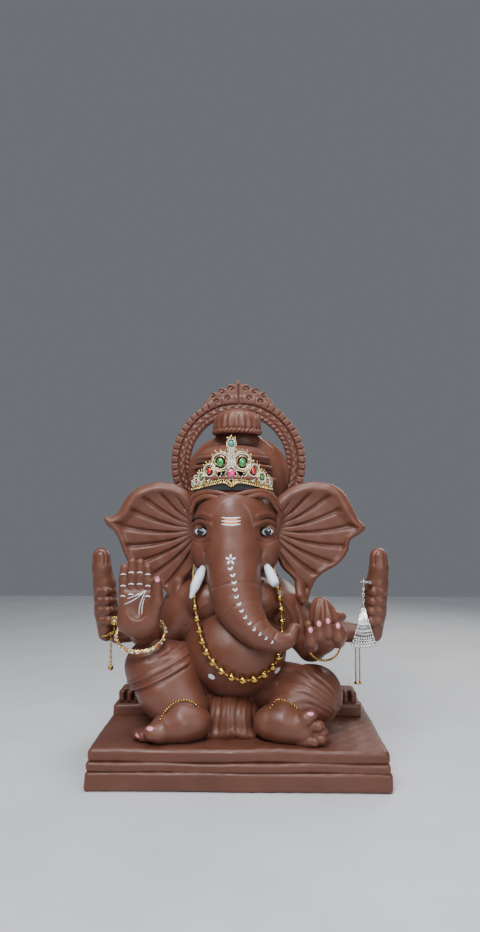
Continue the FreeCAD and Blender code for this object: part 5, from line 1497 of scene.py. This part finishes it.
def keep_cad_pieces():
    """CAD nodes that stay in view, or are hidden inside the clay, with their own finishes."""
    wood = Shader("armature_wood")
    wood.colour(wood.ramp(wood.noise(160, 4), (0.3, (0.30, 0.18, 0.09)), (0.7, (0.46, 0.30, 0.17))))
    wood.set(Roughness=0.7)
    wire = metal_material("armature_wire", (0.30, 0.28, 0.26), 0.4)
    for nodes, material in ((("spine_dowel",), wood.material),
                            (("arm_wires", "halo_pins", "pendant_hook"), wire),
                            (("tiara_felt_lining",), FELT)):
        for node in nodes:
            mesh = frame["nodes"][node].data
            for index in range(len(mesh.materials)):
                mesh.materials[index] = material


# ----------------------------------------------------------------------------------------------
# Floor, lights and camera
# ----------------------------------------------------------------------------------------------
def stage_floor():
    shader = Shader("pale_floor")
    shader.colour(shader.ramp(shader.noise(9, 3), (0.3, (0.60, 0.60, 0.61)), (0.7, (0.66, 0.66, 0.67))))
    shader.set(Roughness=0.6)
    half = 1.6
    mesh = bpy.data.meshes.new("floor")
    mesh.from_pydata([(-half, -half, 0), (half, -half, 0), (half, half, 0), (-half, half, 0)], [],
                     [(0, 1, 2, 3)])
    mesh.materials.append(shader.material)
    floor = bpy.data.objects.new("floor", mesh)
    bpy.context.scene.collection.objects.link(floor)


def aim(thing, place, target):
    thing.location = Vector(place)
    thing.rotation_euler = (Vector(target) - Vector(place)).to_track_quat("-Z", "Y").to_euler()


def stage_lights():
    """Large soft panels: a cool one high in front, a side fill and a weak rim."""
    centre = (0, 0, 0.22)
    panels = (("key", (-0.30, -0.95, 1.25), 0.55, 21, (0.92, 0.96, 1.0)),
              ("front_fill", (0.55, -1.30, 0.60), 0.5, 6, (0.94, 0.97, 1.0)),
              ("top", (0.10, -0.10, 1.30), 0.5, 9, (0.93, 0.96, 1.0)),
              ("rim", (0.6, 0.9, 0.8), 0.5, 5, (1.0, 0.97, 0.92)))
    for name, place, width, power, colour in panels:
        light = bpy.data.lights.new(name, "AREA")
        light.shape = "SQUARE"
        light.size = width
        light.energy = power
        light.color = colour
        panel = bpy.data.objects.new(name, light)
        bpy.context.scene.collection.objects.link(panel)
        aim(panel, place, centre)
    world = bpy.data.worlds.new("studio")
    world.use_nodes = True
    background = world.node_tree.nodes["Background"]
    background.inputs["Color"].default_value = (0.78, 0.83, 0.92, 1)
    background.inputs["Strength"].default_value = 0.2
    bpy.context.scene.world = world


def stage_camera():
    lens = bpy.data.cameras.new("camera")
    lens.lens = 27.04
    lens.sensor_width = 36
    lens.sensor_fit = "AUTO"
    lens.clip_start = 0.01
    camera = bpy.data.objects.new("camera", lens)
    camera.location = (0.018, -0.842, 0.287)
    camera.rotation_euler = (math.radians(90 + 3.84), 0, math.radians(1.23))
    bpy.context.scene.collection.objects.link(camera)
    bpy.context.scene.camera = camera


build_base()
build_ledge()
build_body()
build_right_leg()
build_left_leg()
build_right_foot()
build_left_foot()
build_drape()
build_rear_fists()
build_front_right_hand()
build_front_left_hand()
build_modak()
build_head()
build_ears()
build_tusks()
build_crown()
build_halo()
build_hair()
paint_eyes()
paint_face()
paint_body_marks()
build_tiara()
build_bangles()
build_bracelet()
build_pendant()
build_anklets()
build_necklace()
keep_cad_pieces()
stage_floor()
stage_lights()
stage_camera()
